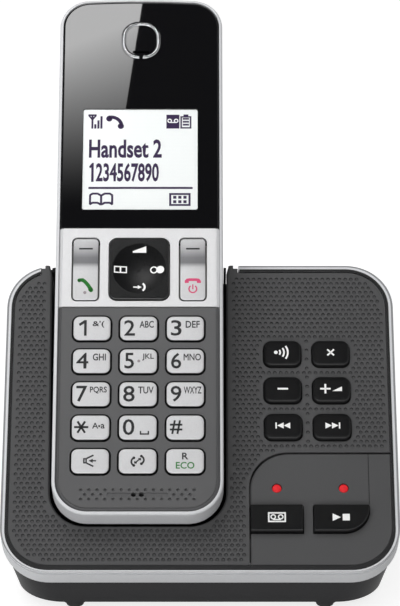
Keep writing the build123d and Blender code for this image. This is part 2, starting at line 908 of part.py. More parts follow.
# Battery cover with grip grooves near its upper end
grip_top = bay_centre_w + cover_length / 2 - cover_radius
with BuildPart() as battery_cover:
    with BuildSketch(handset_level(handset_thickness)):
        with Locations((0, bay_centre_w)):
            RectangleRounded(cover_width, cover_length, cover_radius)
    extrude(amount=cover_thickness)
    with BuildSketch(handset_level(handset_thickness)):
        with Locations(*[(0, grip_top - (i + 1) * cover_grip_pitch) for i in range(cover_grips)]):
            SlotOverall(cover_grip_length, cover_grip_width)
    extrude(amount=cover_grip_depth, mode=Mode.SUBTRACT)
save(battery_cover, "battery_cover")

# Silver rim of the base: bevelled, grooved and open behind the handset
rim_gap_half = well_half_width + tab_width + rim_notch
with BuildPart() as base_rim:
    with BuildSketch(panel_level(rim_depth)):
        add(panel_outline(0))
    extrude(amount=rim_depth)
    chamfer(base_rim.faces().sort_by(panel_normal)[-1].edges(), rim_bevel)
    with BuildSketch(panel_level(rim_bevel + rim_groove_drop + rim_groove_width)):
        add(panel_outline(-overrun))
        add(panel_outline(rim_groove_depth), mode=Mode.SUBTRACT)
    extrude(amount=rim_groove_width, mode=Mode.SUBTRACT)
    with BuildSketch(panel_plane):
        add(panel_outline(rim_lip))
    extrude(amount=-panel_back, mode=Mode.SUBTRACT)
    with BuildSketch(panel_plane):
        add(panel_outline(rim_lip + rim_ledge_width))
    extrude(amount=-rim_depth, mode=Mode.SUBTRACT)
    with BuildSketch(panel_level(rim_depth)):
        add(panel_outline(rim_wall))
    extrude(amount=rim_depth - panel_back - rim_ledge_thickness, mode=Mode.SUBTRACT)
    with BuildSketch(panel_level(rim_depth + overrun)):
        with Locations((well_x, panel_length)):
            Rectangle(2 * rim_gap_half, panel_length / 2)
    extrude(amount=rim_depth + 2 * overrun, mode=Mode.SUBTRACT)
save(base_rim, "base_rim")

# Places of the base's keys, by node name
soft_key_rows = [
    ("skip_back_key", "skip_forward_key"),
    ("volume_down_key", "volume_up_key"),
    ("paging_key", "erase_key"),
]
soft_key_places = {
    node: (
        soft_column_x + (column - 0.5) * soft_column_pitch,
        soft_row_v + row * soft_row_pitch,
    )
    for row, nodes in enumerate(soft_key_rows)
    for column, node in enumerate(nodes)
}
hard_key_left_x = answer_left + answer_gap + hard_key_width / 2
hard_key_right_x = hard_key_left_x + (hard_key_width + play_key_width) / 2 + hard_key_bridge
hard_key_places = {"answer_key": hard_key_left_x, "play_key": hard_key_right_x}
lamp_places = [(lamp_left_x, lamp_v), (lamp_left_x + lamp_pitch, lamp_v)]
well_foot_v = dock_v + frame_depth * sin(lean) - well_foot_gap


def well_outline():
    """Opening of the cradle in the base's top: closest at the handset's foot, open at the back."""
    foot = handset_width / 2 + well_foot_side_gap
    wide = well_half_width + well_flare
    shoulder = panel_length - well_flare_length
    back = panel_length + overrun
    with BuildSketch() as well:
        with BuildLine():
            Polyline(
                (dock_x - foot, well_foot_v),
                (dock_x + foot, well_foot_v),
                (well_x + well_half_width, shoulder),
                (well_x + wide, panel_length),
                (well_x + wide, back),
                (well_x - wide, back),
                (well_x - wide, panel_length),
                (well_x - well_half_width, shoulder),
                close=True,
            )
        make_face()
        fillet(well.vertices().group_by(Axis.Y)[0], foot_corner + well_foot_gap)
    return well.sketch


def answer_outline(inset):
    """Answering panel's outline: the base's right front corner, with one swept corner."""
    left = answer_left + inset
    top = answer_top - inset
    with BuildSketch() as panel:
        with Locations((left, top)):
            Rectangle(base_width, panel_length, align=(Align.MIN, Align.MAX))
        fillet(panel.vertices().group_by(Axis.X)[0].group_by(Axis.Y)[-1], answer_corner)
        add(panel_outline(rim_lip + panel_gap), mode=Mode.INTERSECT)
    return panel.sketch


def hard_key_outline(node, grow):
    """Outline of one hard key, grown by grow; the right one has a swept lower corner."""
    width = play_key_width if node == "play_key" else hard_key_width
    with BuildSketch() as outline:
        with Locations((hard_key_places[node], hard_key_v)):
            Rectangle(width + 2 * grow, hard_key_length + 2 * grow)
        if node == "play_key":
            corner = outline.vertices().group_by(Axis.X)[-1].group_by(Axis.Y)[0]
            fillet(corner, hard_key_sweep + grow)
    return outline.sketch


def soft_key_outline(place, grow):
    """Outline of one soft key, grown by grow."""
    with BuildSketch() as outline:
        with Locations(place):
            RectangleRounded(
                soft_key_width + 2 * grow, soft_key_length + 2 * grow, soft_key_radius + grow
            )
    return outline.sketch


# Perforated top panel with the cradle opening, key openings and loudspeaker grille
grille_holes = [
    (
        speaker_x + (column - (grille_columns - 1) / 2 + (row % 2) / 2) * grille_pitch,
        speaker_v + (row - (grille_rows - 1) / 2) * grille_pitch * sin(radians(60)),
    )
    for row in range(grille_rows)
    for column in range(grille_columns - row % 2)
]
board_post_places = [
    (x, v)
    for x in (board_post_left_x, board_post_right_x)
    for v in (board_post_front_v, board_post_back_v)
]
with BuildPart() as base_panel:
    with BuildSketch(panel_level(panel_back)):
        add(panel_outline(rim_lip + panel_gap))
    extrude(amount=panel_thickness)
    chamfer(base_panel.faces().sort_by(panel_normal)[-1].edges(), panel_chamfer)
    with BuildSketch(panel_level(panel_back)):
        with Locations((well_x, panel_length - panel_back_step)):
            Rectangle(
                2 * (rim_gap_half - slip), panel_length / 2, align=(Align.CENTER, Align.MAX)
            )
        for side in (-1, 1):
            with Locations((well_x + side * (well_half_width + tab_width / 2), panel_length + tab_reach)):
                Rectangle(tab_width, panel_length / 2, align=(Align.CENTER, Align.MAX))
    extrude(amount=panel_thickness)
    with BuildSketch(panel_level(panel_back)):
        add(answer_outline(0))
        for place in soft_key_places.values():
            add(soft_key_outline(place, base_key_gap))
        with Locations(*grille_holes):
            Circle(grille_hole_radius)
    extrude(amount=panel_thickness + overrun, mode=Mode.SUBTRACT)
    with BuildSketch(panel_level(panel_back)):
        add(well_outline())
    extrude(amount=panel_thickness + overrun, mode=Mode.SUBTRACT)
    with BuildSketch(panel_level(panel_drop + well_chamfer)):
        add(well_outline())
    extrude(amount=well_chamfer, taper=-well_chamfer_angle, mode=Mode.SUBTRACT)
    with BuildSketch(panel_level(panel_back)):
        with Locations(*board_post_places):
            Circle(board_post_radius)
    extrude(amount=-(key_board_front_depth - panel_back))
    with BuildSketch(panel_level(key_board_front_depth)):
        with Locations(*board_post_places):
            Circle(board_screw_radius + screw_play)
    extrude(amount=board_screw_reach, mode=Mode.SUBTRACT)
save(base_panel, "base_panel")

# Smooth answering panel on a lip that tucks under the perforated panel
with BuildPart() as answer_panel:
    with BuildSketch(panel_level(panel_back)):
        add(answer_outline(answer_gap))
    extrude(amount=panel_thickness)
    chamfer(answer_panel.faces().sort_by(panel_normal)[-1].edges(), answer_edge)
    with BuildSketch(panel_level(panel_back)):
        for node in hard_key_places:
            add(hard_key_outline(node, base_key_gap))
        with Locations(*lamp_places):
            Circle(lamp_radius + slip)
    extrude(amount=panel_thickness + overrun, mode=Mode.SUBTRACT)
    with BuildSketch(panel_level(panel_back)):
        add(answer_outline(-answer_lip_width))
        add(answer_outline(answer_gap + answer_lip_inner), mode=Mode.SUBTRACT)
        add(panel_outline(rim_lip + rim_ledge_width + slip), mode=Mode.INTERSECT)
        for node in hard_key_places:
            add(hard_key_outline(node, base_flange + base_key_gap), mode=Mode.SUBTRACT)
    extrude(amount=-answer_lip_thickness)
save(answer_panel, "answer_panel")


def base_key(outline, proud, edge, plunger_places):
    """A base key: cap, retaining flange and plungers. outline(grow) draws its cap."""
    with BuildPart() as key:
        with BuildSketch(panel_level(base_flange_front)):
            add(outline(0))
        extrude(amount=base_flange_front - panel_drop + proud)
        fillet(key.faces().sort_by(panel_normal)[-1].edges(), edge)
        with BuildSketch(panel_level(base_flange_back)):
            add(outline(base_flange))
        extrude(amount=base_flange_thickness)
        with BuildSketch(panel_level(base_plunger_tip)):
            with Locations(*plunger_places):
                Circle(base_plunger_radius)
        extrude(amount=base_plunger_length)
    return key


for node, place in soft_key_places.items():
    save(
        base_key(lambda grow: soft_key_outline(place, grow), soft_key_proud, soft_key_edge, [place]),
        node,
    )
for node, key_x in hard_key_places.items():
    save(
        base_key(
            lambda grow: hard_key_outline(node, grow),
            hard_key_proud,
            hard_key_edge,
            [(key_x, hard_key_v)],
        ),
        node,
    )

# Red lamp lenses, each a light pipe that reaches the key board
with BuildPart() as lamp_lenses:
    with BuildSketch(panel_level(key_board_front_depth - press_gap)):
        with Locations(*lamp_places):
            Circle(lamp_radius)
    extrude(amount=key_board_front_depth - press_gap - panel_drop - lamp_drop)
save(lamp_lenses, "lamp_lenses")

# Key board under the top panel, with one switch under each key
switch_places = list(soft_key_places.values()) + [(x, hard_key_v) for x in hard_key_places.values()]
with BuildPart() as key_board:
    with BuildSketch(panel_level(key_board_back_depth)):
        with Locations((key_board_left, key_board_front)):
            Rectangle(
                key_board_right - key_board_left,
                key_board_back - key_board_front,
                align=(Align.MIN, Align.MIN),
            )
        with Locations(*board_post_places):
            Circle(board_screw_radius + screw_play, mode=Mode.SUBTRACT)
    extrude(amount=base_board_thickness)
save(key_board, "base_key_board")

with BuildPart() as base_switches:
    with BuildSketch(panel_level(key_board_front_depth)):
        with Locations(*switch_places):
            Rectangle(base_switch_size, base_switch_size)
    extrude(amount=base_switch_height)
save(base_switches, "base_switches")

# Oval loudspeaker under the grille
with BuildPart() as base_speaker:
    with BuildSketch(panel_level(panel_back)):
        with Locations((speaker_x, speaker_v)):
            SlotOverall(speaker_width, speaker_height)
            SlotOverall(
                speaker_width - 2 * speaker_rim, speaker_height - 2 * speaker_rim, mode=Mode.SUBTRACT
            )
    extrude(amount=-speaker_rim)
    with BuildSketch(panel_level(panel_back + speaker_rim)):
        with Locations((speaker_x, speaker_v)):
            SlotOverall(speaker_width, speaker_height)
    extrude(amount=-(speaker_thickness - speaker_rim))
    with BuildSketch(panel_level(panel_back + speaker_thickness)):
        with Locations((speaker_x, speaker_v)):
            Circle(speaker_magnet_radius)
    extrude(amount=-speaker_magnet_depth)
save(base_speaker, "base_speaker")

# Cradle: an open channel for the handset's back, on four screwed legs
floor_level = foot_height + shell_floor
cradle_floor = handset_thickness + cradle_floor_gap
leg_places = [
    (dock_x + side * leg_half_span, front_y + y) for side in (-1, 1) for y in (leg_front_y, leg_back_y)
]


def cradle_outline(grow):
    """Footprint of the cradle's pocket, seen along the handset's thickness, grown by grow."""
    half = well_half_width + grow
    with BuildSketch() as pocket:
        with Locations((0, -cradle_end_gap - grow)):
            Rectangle(2 * half, handset_length, align=(Align.CENTER, Align.MIN))
        fillet(pocket.vertices().group_by(Axis.Y)[0], foot_corner + cradle_end_gap + grow)
    return pocket.sketch


def under_panel(depth, back):
    """Everything below the base's top by depth and in front of its back edge."""
    with BuildPart() as under:
        with BuildSketch(panel_level(depth)):
            with Locations((0, back)):
                Rectangle(2 * base_width, 2 * panel_length, align=(Align.CENTER, Align.MAX))
        extrude(amount=-base_width)
    return under.part


contact_places = [(-contact_half_span, contact_level), (contact_half_span, contact_level)]
with BuildPart() as cradle:
    with BuildSketch(handset_level(cradle_floor + cradle_wall)):
        add(cradle_outline(cradle_wall))
    extrude(amount=cradle_floor + cradle_wall)
    with BuildSketch(Plane.XY.offset(floor_level)):
        with Locations(*leg_places):
            Circle(leg_radius)
    extrude(amount=base_width)
    with BuildSketch(handset_level(cradle_floor)):
        add(cradle_outline(0))
    extrude(amount=base_width, mode=Mode.SUBTRACT)
    add(under_panel(panel_back, panel_length), mode=Mode.INTERSECT)
    with BuildSketch(Plane.XY.offset(floor_level)):
        with Locations(*leg_places):
            Circle(leg_screw_radius + screw_play)
    extrude(amount=leg_screw_reach, mode=Mode.SUBTRACT)
    with BuildSketch(foot_end.offset(-cradle_end_gap - cradle_wall - overrun)):
        with Locations(*contact_places):
            Rectangle(contact_width + 2 * contact_slot_gap, contact_depth + 2 * contact_slot_gap)
    extrude(amount=cradle_wall + 2 * overrun, mode=Mode.SUBTRACT)
save(cradle, "cradle")

# Sprung charge contacts that pass through the cradle's foot
contact_tip = rear_inset - contact_gap
contact_stop = -cradle_end_gap - cradle_wall - contact_gap
with BuildPart() as charge_contacts:
    with BuildSketch(foot_end.offset(contact_tip)):
        with Locations(*contact_places):
            Rectangle(contact_width, contact_depth)
    extrude(amount=contact_stop - contact_tip)
    with BuildSketch(foot_end.offset(contact_stop)):
        with Locations(*contact_places):
            Rectangle(contact_width + 2 * contact_head, contact_depth + 2 * contact_head)
    extrude(amount=-contact_head_thickness)
save(charge_contacts, "charge_contacts")

# Lower shell: a hollow wedge drawn in towards the table
shell_front_y = front_y + rim_depth * sin(panel_angle) + shell_front_draw
shell_back_y = (
    front_y + panel_length * cos(panel_angle) + rim_depth * sin(panel_angle) + shell_back_flare
)


def shell_foot_outline(inset):
    """Outline of the lower shell's underside, drawn in by inset."""
    half = base_width / 2 - shell_side_draw - inset
    with BuildSketch() as outline:
        with BuildLine():
            Polyline(
                (-half, shell_front_y + inset),
                (half, shell_front_y + inset),
                (half, shell_back_y - inset),
                (-half, shell_back_y - inset),
                close=True,
            )
        make_face()
        fillet(outline.vertices(), shell_foot_corner - inset)
    return outline.sketch


# Sockets at the back of the main board
board_top = floor_level + main_board_lift + base_board_thickness
main_board_back = shell_back_y - shell_wall - main_board_back_gap
mouth_y = shell_back_y - socket_recess
foot_places = [
    (side * foot_x, y)
    for side in (-1, 1)
    for y in (
        shell_front_y + foot_collar_radius + foot_front_margin,
        shell_back_y - foot_collar_radius - foot_back_margin,
    )
]
peg_places = [
    (x, y)
    for x in (main_board_left + main_board_peg_inset, main_board_right - main_board_peg_inset)
    for y in (
        front_y + main_board_front + main_board_peg_inset,
        main_board_back - main_board_peg_inset,
    )
]


def socket_body(place_x, width, height, depth):
    """Block of a rear socket, standing on the main board."""
    with BuildPart() as body:
        with BuildSketch(Plane.XY.offset(board_top)):
            with Locations((place_x, mouth_y)):
                Rectangle(width, depth, align=(Align.CENTER, Align.MAX))
        extrude(amount=height)
    return body.part


def socket_window(place_x, width, height):
    """Opening for a rear socket, right through the shell's back wall."""
    with BuildPart() as window:
        with BuildSketch(Plane.XY.offset(board_top - socket_clearance)):
            with Locations((place_x, shell_back_y + overrun)):
                Rectangle(
                    width + 2 * socket_clearance,
                    socket_recess + shell_back_flare + shell_wall + overrun,
                    align=(Align.CENTER, Align.MAX),
                )
        extrude(amount=height + 2 * socket_clearance)
    return window.part


def shell_hollow():
    """Room inside the lower shell."""
    with BuildPart() as hollow:
        with BuildSketch(Plane.XY.offset(floor_level)):
            add(shell_foot_outline(shell_wall))
        with BuildSketch(panel_level(rim_depth - overrun)):
            add(panel_outline(shell_inset + shell_wall))
        loft(ruled=True)
    return hollow.part


def cradle_room():
    """Room that the cradle takes from the lower shell."""
    with BuildPart() as room:
        with BuildSketch(handset_level(cradle_floor + cradle_wall + cradle_shell_gap)):
            add(cradle_outline(cradle_wall + cradle_shell_gap))
        extrude(amount=base_width)
    return room.part


with BuildPart() as lower_shell:
    with BuildSketch(Plane.XY.offset(foot_height)):
        add(shell_foot_outline(0))
    with BuildSketch(panel_level(rim_depth)):
        add(panel_outline(shell_inset))
    loft(ruled=True)
    add(shell_hollow(), mode=Mode.SUBTRACT)
    add(cradle_room(), mode=Mode.SUBTRACT)
    with BuildSketch(Plane.XY.offset(foot_height - foot_collar_height)):
        with Locations(*foot_places):
            Circle(foot_collar_radius)
    extrude(amount=foot_collar_height + shell_floor)
    with BuildSketch(Plane.XY.offset(foot_height - foot_collar_height)):
        with Locations(*foot_places):
            Circle(foot_radius + foot_gap)
    extrude(amount=foot_seat + foot_gap, mode=Mode.SUBTRACT)
    with BuildSketch(Plane.XY.offset(floor_level)):
        with Locations(*peg_places):
            Circle(main_board_peg_radius)
    extrude(amount=main_board_lift)
    with BuildSketch(Plane.XY.offset(foot_height)):
        with Locations(*leg_places):
            Circle(leg_screw_radius + screw_play)
    extrude(amount=shell_floor, mode=Mode.SUBTRACT)
    with BuildSketch(Plane.XY.offset(foot_height)):
        with Locations(*leg_places):
            Circle(leg_head_radius + screw_play)
    extrude(amount=leg_head_thickness + screw_play, mode=Mode.SUBTRACT)
    add(socket_window(jack_x, jack_width, jack_height), mode=Mode.SUBTRACT)
    add(socket_window(socket_x, socket_width, socket_height), mode=Mode.SUBTRACT)
save(lower_shell, "lower_shell")

# Rubber feet in the shell's collars
with BuildPart() as base_feet:
    with BuildSketch():
        with Locations(*foot_places):
            Circle(foot_radius)
    extrude(amount=foot_height - foot_collar_height + foot_seat)
save(base_feet, "base_feet")

# Main board on four pegs, with the power jack and the line socket at its back edge
with BuildPart() as main_board:
    with BuildSketch(Plane.XY.offset(floor_level + main_board_lift)):
        with Locations((main_board_left, front_y + main_board_front)):
            Rectangle(
                main_board_right - main_board_left,
                main_board_back - front_y - main_board_front,
                align=(Align.MIN, Align.MIN),
            )
    extrude(amount=base_board_thickness)
save(main_board, "base_main_board")

rear_plane = Plane(origin=(0, mouth_y, board_top), x_dir=(-1, 0, 0), z_dir=(0, 1, 0))
with BuildPart() as dc_jack:
    add(socket_body(jack_x, jack_width, jack_height, jack_depth))
    with BuildSketch(rear_plane):
        with Locations((-jack_x, jack_height / 2)):
            Circle(jack_bore_radius)
            Circle(jack_pin_radius, mode=Mode.SUBTRACT)
    extrude(amount=-jack_bore_depth, mode=Mode.SUBTRACT)
save(dc_jack, "dc_jack")

with BuildPart() as line_socket:
    add(socket_body(socket_x, socket_width, socket_height, socket_depth))
    with BuildSketch(rear_plane):
        with Locations((-socket_x, socket_height / 2)):
            Rectangle(socket_mouth_width, socket_mouth_height)
        with Locations((-socket_x, socket_height / 2 + socket_mouth_height / 2)):
            Rectangle(
                socket_latch_width, socket_latch_height, align=(Align.CENTER, Align.MIN)
            )
    extrude(amount=-socket_mouth_depth, mode=Mode.SUBTRACT)
save(line_socket, "line_socket")

# Screws: four up into the cradle's legs, four through the key board into its posts
with BuildPart() as base_screws:
    with BuildSketch(Plane.XY.offset(foot_height)):
        with Locations(*leg_places):
            Circle(leg_head_radius)
    extrude(amount=leg_head_thickness)
    with BuildSketch(Plane.XY.offset(foot_height + leg_head_thickness)):
        with Locations(*leg_places):
            Circle(leg_screw_radius)
    extrude(amount=shell_floor - leg_head_thickness + leg_screw_reach - screw_play)
    with BuildSketch(panel_level(key_board_back_depth + screw_head_thickness)):
        with Locations(*board_post_places):
            Circle(screw_head_radius)
    extrude(amount=screw_head_thickness)
    with BuildSketch(panel_level(key_board_back_depth)):
        with Locations(*board_post_places):
            Circle(board_screw_radius)
    extrude(amount=base_board_thickness + board_screw_reach - screw_play)
save(base_screws, "base_screws")
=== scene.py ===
"""Cordless phone docked in its answering-machine base, dressed and lit for a render."""

from __future__ import annotations

import json
import logging
import math
from collections.abc import Callable, Iterator
from contextlib import contextmanager
from dataclasses import dataclass, field
from enum import Enum

import bmesh
import bpy
import numpy as np
from mathutils import Matrix, Vector

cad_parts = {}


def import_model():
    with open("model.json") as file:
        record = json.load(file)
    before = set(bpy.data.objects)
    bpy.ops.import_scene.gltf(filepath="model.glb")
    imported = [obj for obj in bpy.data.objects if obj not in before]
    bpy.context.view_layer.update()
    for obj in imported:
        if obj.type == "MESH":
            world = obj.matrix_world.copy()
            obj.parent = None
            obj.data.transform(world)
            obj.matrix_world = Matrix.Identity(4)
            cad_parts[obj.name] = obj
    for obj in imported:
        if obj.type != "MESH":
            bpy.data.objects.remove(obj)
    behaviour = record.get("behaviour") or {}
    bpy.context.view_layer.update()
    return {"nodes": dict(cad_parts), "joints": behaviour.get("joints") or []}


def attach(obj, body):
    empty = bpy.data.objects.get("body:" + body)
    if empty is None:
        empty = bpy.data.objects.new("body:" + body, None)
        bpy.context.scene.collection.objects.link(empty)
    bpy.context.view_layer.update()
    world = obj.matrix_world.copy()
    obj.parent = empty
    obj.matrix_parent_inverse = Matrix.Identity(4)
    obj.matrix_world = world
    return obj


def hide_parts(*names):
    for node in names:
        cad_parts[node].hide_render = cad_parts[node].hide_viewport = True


LOG = logging.getLogger("phone")
MM = 0.001
ACROSS = Vector((1.0, 0.0, 0.0))
CORNERS = ((-1, -1), (1, -1), (1, 1), (-1, 1))

Point = tuple[float, float]
Place = tuple[float, float, float]
Margins = tuple[float, float, float]
Colour = tuple[float, float, float, float]
Height = Callable[[float, float], float]
Socket = bpy.types.NodeSocket
Feeds = dict[str | int, object]
Material = bpy.types.Material
Node = bpy.types.Node
Face = bmesh.types.BMFace
Edge = bmesh.types.BMEdge
Vert = bmesh.types.BMVert


class Slot(Enum):
    """Material slots of the record."""

    SILVER_SHELL = "silver_shell"
    BRIGHT_SILVER = "bright_silver"
    KEY_SILVER = "key_silver"
    KEYPAD_GREY = "keypad_grey"
    PANEL_GREY = "panel_grey"
    GLOSS_BLACK = "gloss_black"
    NAVIGATOR_BLACK = "navigator_black"
    SHELL_BLACK = "shell_black"
    EARPIECE_CHROME = "earpiece_chrome"
    DISPLAY_GLASS = "display_glass"
    SOFT_KEY_RUBBER = "soft_key_rubber"
    HARD_KEY_BLACK = "hard_key_black"
    LAMP_RED = "lamp_red"
    FOOT_RUBBER = "foot_rubber"
    SILICONE_WHITE = "silicone_white"
    CIRCUIT_BOARD = "circuit_board"
    CONTACT_METAL = "contact_metal"
    SCREW_STEEL = "screw_steel"
    CELL_SLEEVE = "cell_sleeve"
    DEVICE_BLACK = "device_black"
    SOCKET_PLASTIC = "socket_plastic"


class Detail(Enum):
    """Second finishes, for parts of a piece that differ from its slot."""

    ROCKER = "rocker"
    KEY_SKIRT = "key_skirt"
    RIM_BAND = "rim_band"
    DIMPLE = "dimple"


class Ink(Enum):
    """Printing inks, as sRGB hex colours."""

    LEGEND = "#242426"
    WHITE = "#e8e8e6"
    TALK_GREEN = "#12691a"
    END_RED = "#c4446c"
    ECO_GREEN = "#2f7434"
    DISPLAY = "#2c1a40"
    DISPLAY_PALE = "#eef1f0"
    PIP = "#8d8488"


def linear(hex_colour: str) -> Colour:
    """Turn an sRGB hex colour into the linear colour that a shader takes.

    Args:
        hex_colour: Colour written as #rrggbb.

    Returns:
        Linear red, green, blue and an alpha of one.
    """
    channels = [int(hex_colour[i : i + 2], 16) / 255 for i in (1, 3, 5)]
    red, green, blue = (c / 12.92 if c <= 0.04045 else ((c + 0.055) / 1.055) ** 2.4 for c in channels)
    return (red, green, blue, 1.0)


WHITE = linear("#ffffff")
TINY = 1e-12


@dataclass(frozen=True)
class Graph:
    """A node tree being wired. Sizes are in millimetres."""

    tree: bpy.types.NodeTree

    @classmethod
    def of(cls, owner: Material | bpy.types.World) -> Graph:
        """Start an empty graph for a material or a world.

        Args:
            owner: What the graph belongs to.

        Returns:
            The graph.
        """
        owner.use_nodes = True
        owner.node_tree.nodes.clear()
        return cls(owner.node_tree)

    def feed(self, node: Node, feeds: Feeds) -> None:
        """Feed a node's inputs.

        Args:
            node: Node to feed.
            feeds: Input name or number to a value or to another node's output.
        """
        for socket, source in feeds.items():
            if isinstance(source, Socket):
                self.tree.links.new(source, node.inputs[socket])
            else:
                node.inputs[socket].default_value = source

    def add(self, kind: str, feeds: Feeds | None = None, **settings) -> Node:
        """Add a node, set it up and feed its inputs.

        Args:
            kind: Blender's name for the node type.
            feeds: Input name or number to a value or to another node's output.
            **settings: Properties of the node itself.

        Returns:
            The new node.
        """
        node = self.tree.nodes.new(kind)
        for name, value in settings.items():
            setattr(node, name, value)
        self.feed(node, feeds or {})
        return node

    def maths(self, operation: str, first: Socket, second: Socket | float) -> Socket:
        """Combine two values by one of Blender's operations."""
        return self.add("ShaderNodeMath", {0: first, 1: second}, operation=operation).outputs[0]

    def mix(self, share: Socket, first: Socket | Colour, second: Colour) -> Socket:
        """Blend from a first colour to a second."""
        return self.add("ShaderNodeMix", {0: share, 6: first, 7: second}, data_type="RGBA").outputs[2]

    def span(self, value: Socket, ends: Point, limits: Point = (0.0, 1.0)) -> Socket:
        """Spread a value that runs between two limits over another pair of ends."""
        feeds = dict(zip(("From Min", "From Max", "To Min", "To Max"), (*limits, *ends)))
        return self.add("ShaderNodeMapRange", {"Value": value, **feeds}).outputs["Result"]

    def noise(self, place: Socket, size: float, detail: float = 2.0) -> Socket:
        """Make a cloudy pattern with clouds of a given size."""
        feeds = {"Vector": place, "Scale": 1 / (size * MM), "Detail": detail}
        return self.add("ShaderNodeTexNoise", feeds).outputs["Fac"]

    def bump(self, height: Socket, relief: float) -> Socket:
        """Turn a pattern into a relief of a given depth."""
        return self.add("ShaderNodeBump", {"Height": height, "Distance": relief * MM}).outputs["Normal"]

    def bricks(
        self, place: Socket, size: float, colours: tuple[str, ...], joint: float, brick: Point, **settings
    ) -> Node:
        """Lay a brick pattern.

        Args:
            place: Coordinates to lay it in.
            size: Size of its unit.
            colours: Hex colours of two bricks and of the joint between them.
            joint: Width of the joint, in units.
            brick: Width and height of a brick, in units.
            **settings: Properties of the node itself.

        Returns:
            The node.
        """
        feeds = dict(zip(("Color1", "Color2", "Mortar"), map(linear, colours)))
        feeds |= {"Vector": place, "Scale": 1 / (size * MM), "Mortar Size": joint}
        feeds |= {"Brick Width": brick[0], "Row Height": brick[1]}
        return self.add("ShaderNodeTexBrick", feeds, **settings)

    def backdrop_rays(self) -> Socket:
        """Tell the rays that look at the backdrop itself: straight, in a mirror or through glass.

        Returns:
            An output that is one for such a ray and zero for any other.
        """
        path = self.add("ShaderNodeLightPath").outputs
        mirrored = self.maths("MAXIMUM", path["Is Glossy Ray"], path["Is Transmission Ray"])
        return self.maths("MAXIMUM", mirrored, path["Is Camera Ray"])


@dataclass(frozen=True)
class Finish:
    """A surface finish: its name and the numbers that are the same all over it."""

    name: str
    roughness: float
    metallic: float = 0.0
    ior: float = 1.5
    coat: float = 0.0
    coat_roughness: float = 0.05
    uneven: Point = (1.0, 1.0)

    def material(self) -> Material:
        """Make the material.

        Returns:
            The material.
        """
        material = bpy.data.materials.new(self.name)
        graph = Graph.of(material)
        even = {
            "Roughness": self.roughness,
            "Metallic": self.metallic,
            "IOR": self.ior,
            "Coat Weight": self.coat,
            "Coat Roughness": self.coat_roughness,
        }
        shader = graph.add("ShaderNodeBsdfPrincipled", even)
        graph.add("ShaderNodeOutputMaterial", {"Surface": shader.outputs["BSDF"]})
        place = graph.add("ShaderNodeTexCoord").outputs["Object"]
        graph.feed(shader, self.feeds(graph, place))
        return material

    def feeds(self, graph: Graph, place: Socket) -> Feeds:
        """Say what feeds the shader, place by place.

        Args:
            graph: Graph of the material.
            place: Object coordinates.

        Returns:
            Input name to a value or to another node's output.
        """
        return {}

    def gloss(self, graph: Graph, pattern: Socket) -> Socket:
        """Let the roughness follow a pattern, between two shares of it."""
        return graph.span(pattern, (self.roughness * self.uneven[0], self.roughness * self.uneven[1]))


@dataclass(frozen=True)
class TwoTone(Finish):
    """A finish whose colour wanders between two tones."""

    colour: str = "#808080"
    shade: str = "#808080"

    def tint(self, graph: Graph, share: Socket) -> Socket:
        """Blend the two tones."""
        return graph.mix(share, linear(self.colour), linear(self.shade))


@dataclass(frozen=True)
class MouldedPlastic(TwoTone):
    """ABS from a spark-eroded mould: an even colour broken by a fine matt grain."""

    grain: float = 0.45
    relief: float = 0.012
    drift: float = 26.0
    rough_spread: float = 0.08

    def feeds(self, graph: Graph, place: Socket) -> Feeds:
        """Say what feeds the shader, place by place."""
        grain = graph.noise(place, self.grain)
        ends = (self.roughness - self.rough_spread, self.roughness + self.rough_spread)
        return {
            "Base Color": self.tint(graph, graph.noise(place, self.drift)),
            "Roughness": graph.span(grain, ends),
            "Normal": graph.bump(grain, self.relief),
        }


@dataclass(frozen=True)
class SilverLacquer(TwoTone):
    """Sprayed silver on ABS: fine metal flakes under a thin clear film."""

    uneven: Point = (0.85, 1.2)
    flake: float = 0.16
    flakes_in_cloud: float = 8.0
    detail: float = 3.0
    relief: float = 0.004

    def feeds(self, graph: Graph, place: Socket) -> Feeds:
        """Say what feeds the shader, place by place."""
        cells = graph.add("ShaderNodeTexVoronoi", {"Vector": place, "Scale": 1 / (self.flake * MM)})
        flake = cells.outputs["Color"]
        cloud = graph.noise(place, self.flakes_in_cloud * self.flake, self.detail)
        return {
            "Base Color": self.tint(graph, graph.maths("MULTIPLY", flake, cloud)),
            "Roughness": self.gloss(graph, flake),
            "Normal": graph.bump(cloud, self.relief),
        }


@dataclass(frozen=True)
class ShadePaintedSilver(SilverLacquer):
    """Silver lacquer darkened along part of a key by painted shade, which a vertex attribute spreads."""

    # Colour of the painted shade.
    under: str = "#77777a"

    def feeds(self, graph: Graph, place: Socket) -> Feeds:
        """Say what feeds the shader, place by place."""
        silver = super().feeds(graph, place)
        # Painted shade: the attribute blends the silver towards the darker colour.
        fade = graph.add("ShaderNodeAttribute", attribute_name="fade").outputs["Fac"]
        return silver | {"Base Color": graph.mix(fade, silver["Base Color"], linear(self.under))}


@dataclass(frozen=True)
class GlossAcrylic(TwoTone):
    """Polished acrylic, printed black behind: a mirror gloss with faint smears of handling."""

    uneven: Point = (0.5, 1.6)
    colour: str = "#111112"
    shade: str = "#101012"
    smear: float = 9.0
    detail: float = 4.0

    def feeds(self, graph: Graph, place: Socket) -> Feeds:
        """Say what feeds the shader, place by place."""
        smear = graph.noise(place, self.smear, self.detail)
        return {"Base Color": self.tint(graph, smear), "Roughness": self.gloss(graph, smear)}


@dataclass(frozen=True)
class PlatedMetal(TwoTone):
    """Plated or bright metal: near mirror gloss with hair-fine scuffs."""

    uneven: Point = (0.6, 1.5)
    scuff: float = 0.6
    detail: float = 5.0

    def feeds(self, graph: Graph, place: Socket) -> Feeds:
        """Say what feeds the shader, place by place."""
        scuff = graph.noise(place, self.scuff, self.detail)
        return {"Base Color": self.tint(graph, scuff), "Roughness": self.gloss(graph, scuff)}


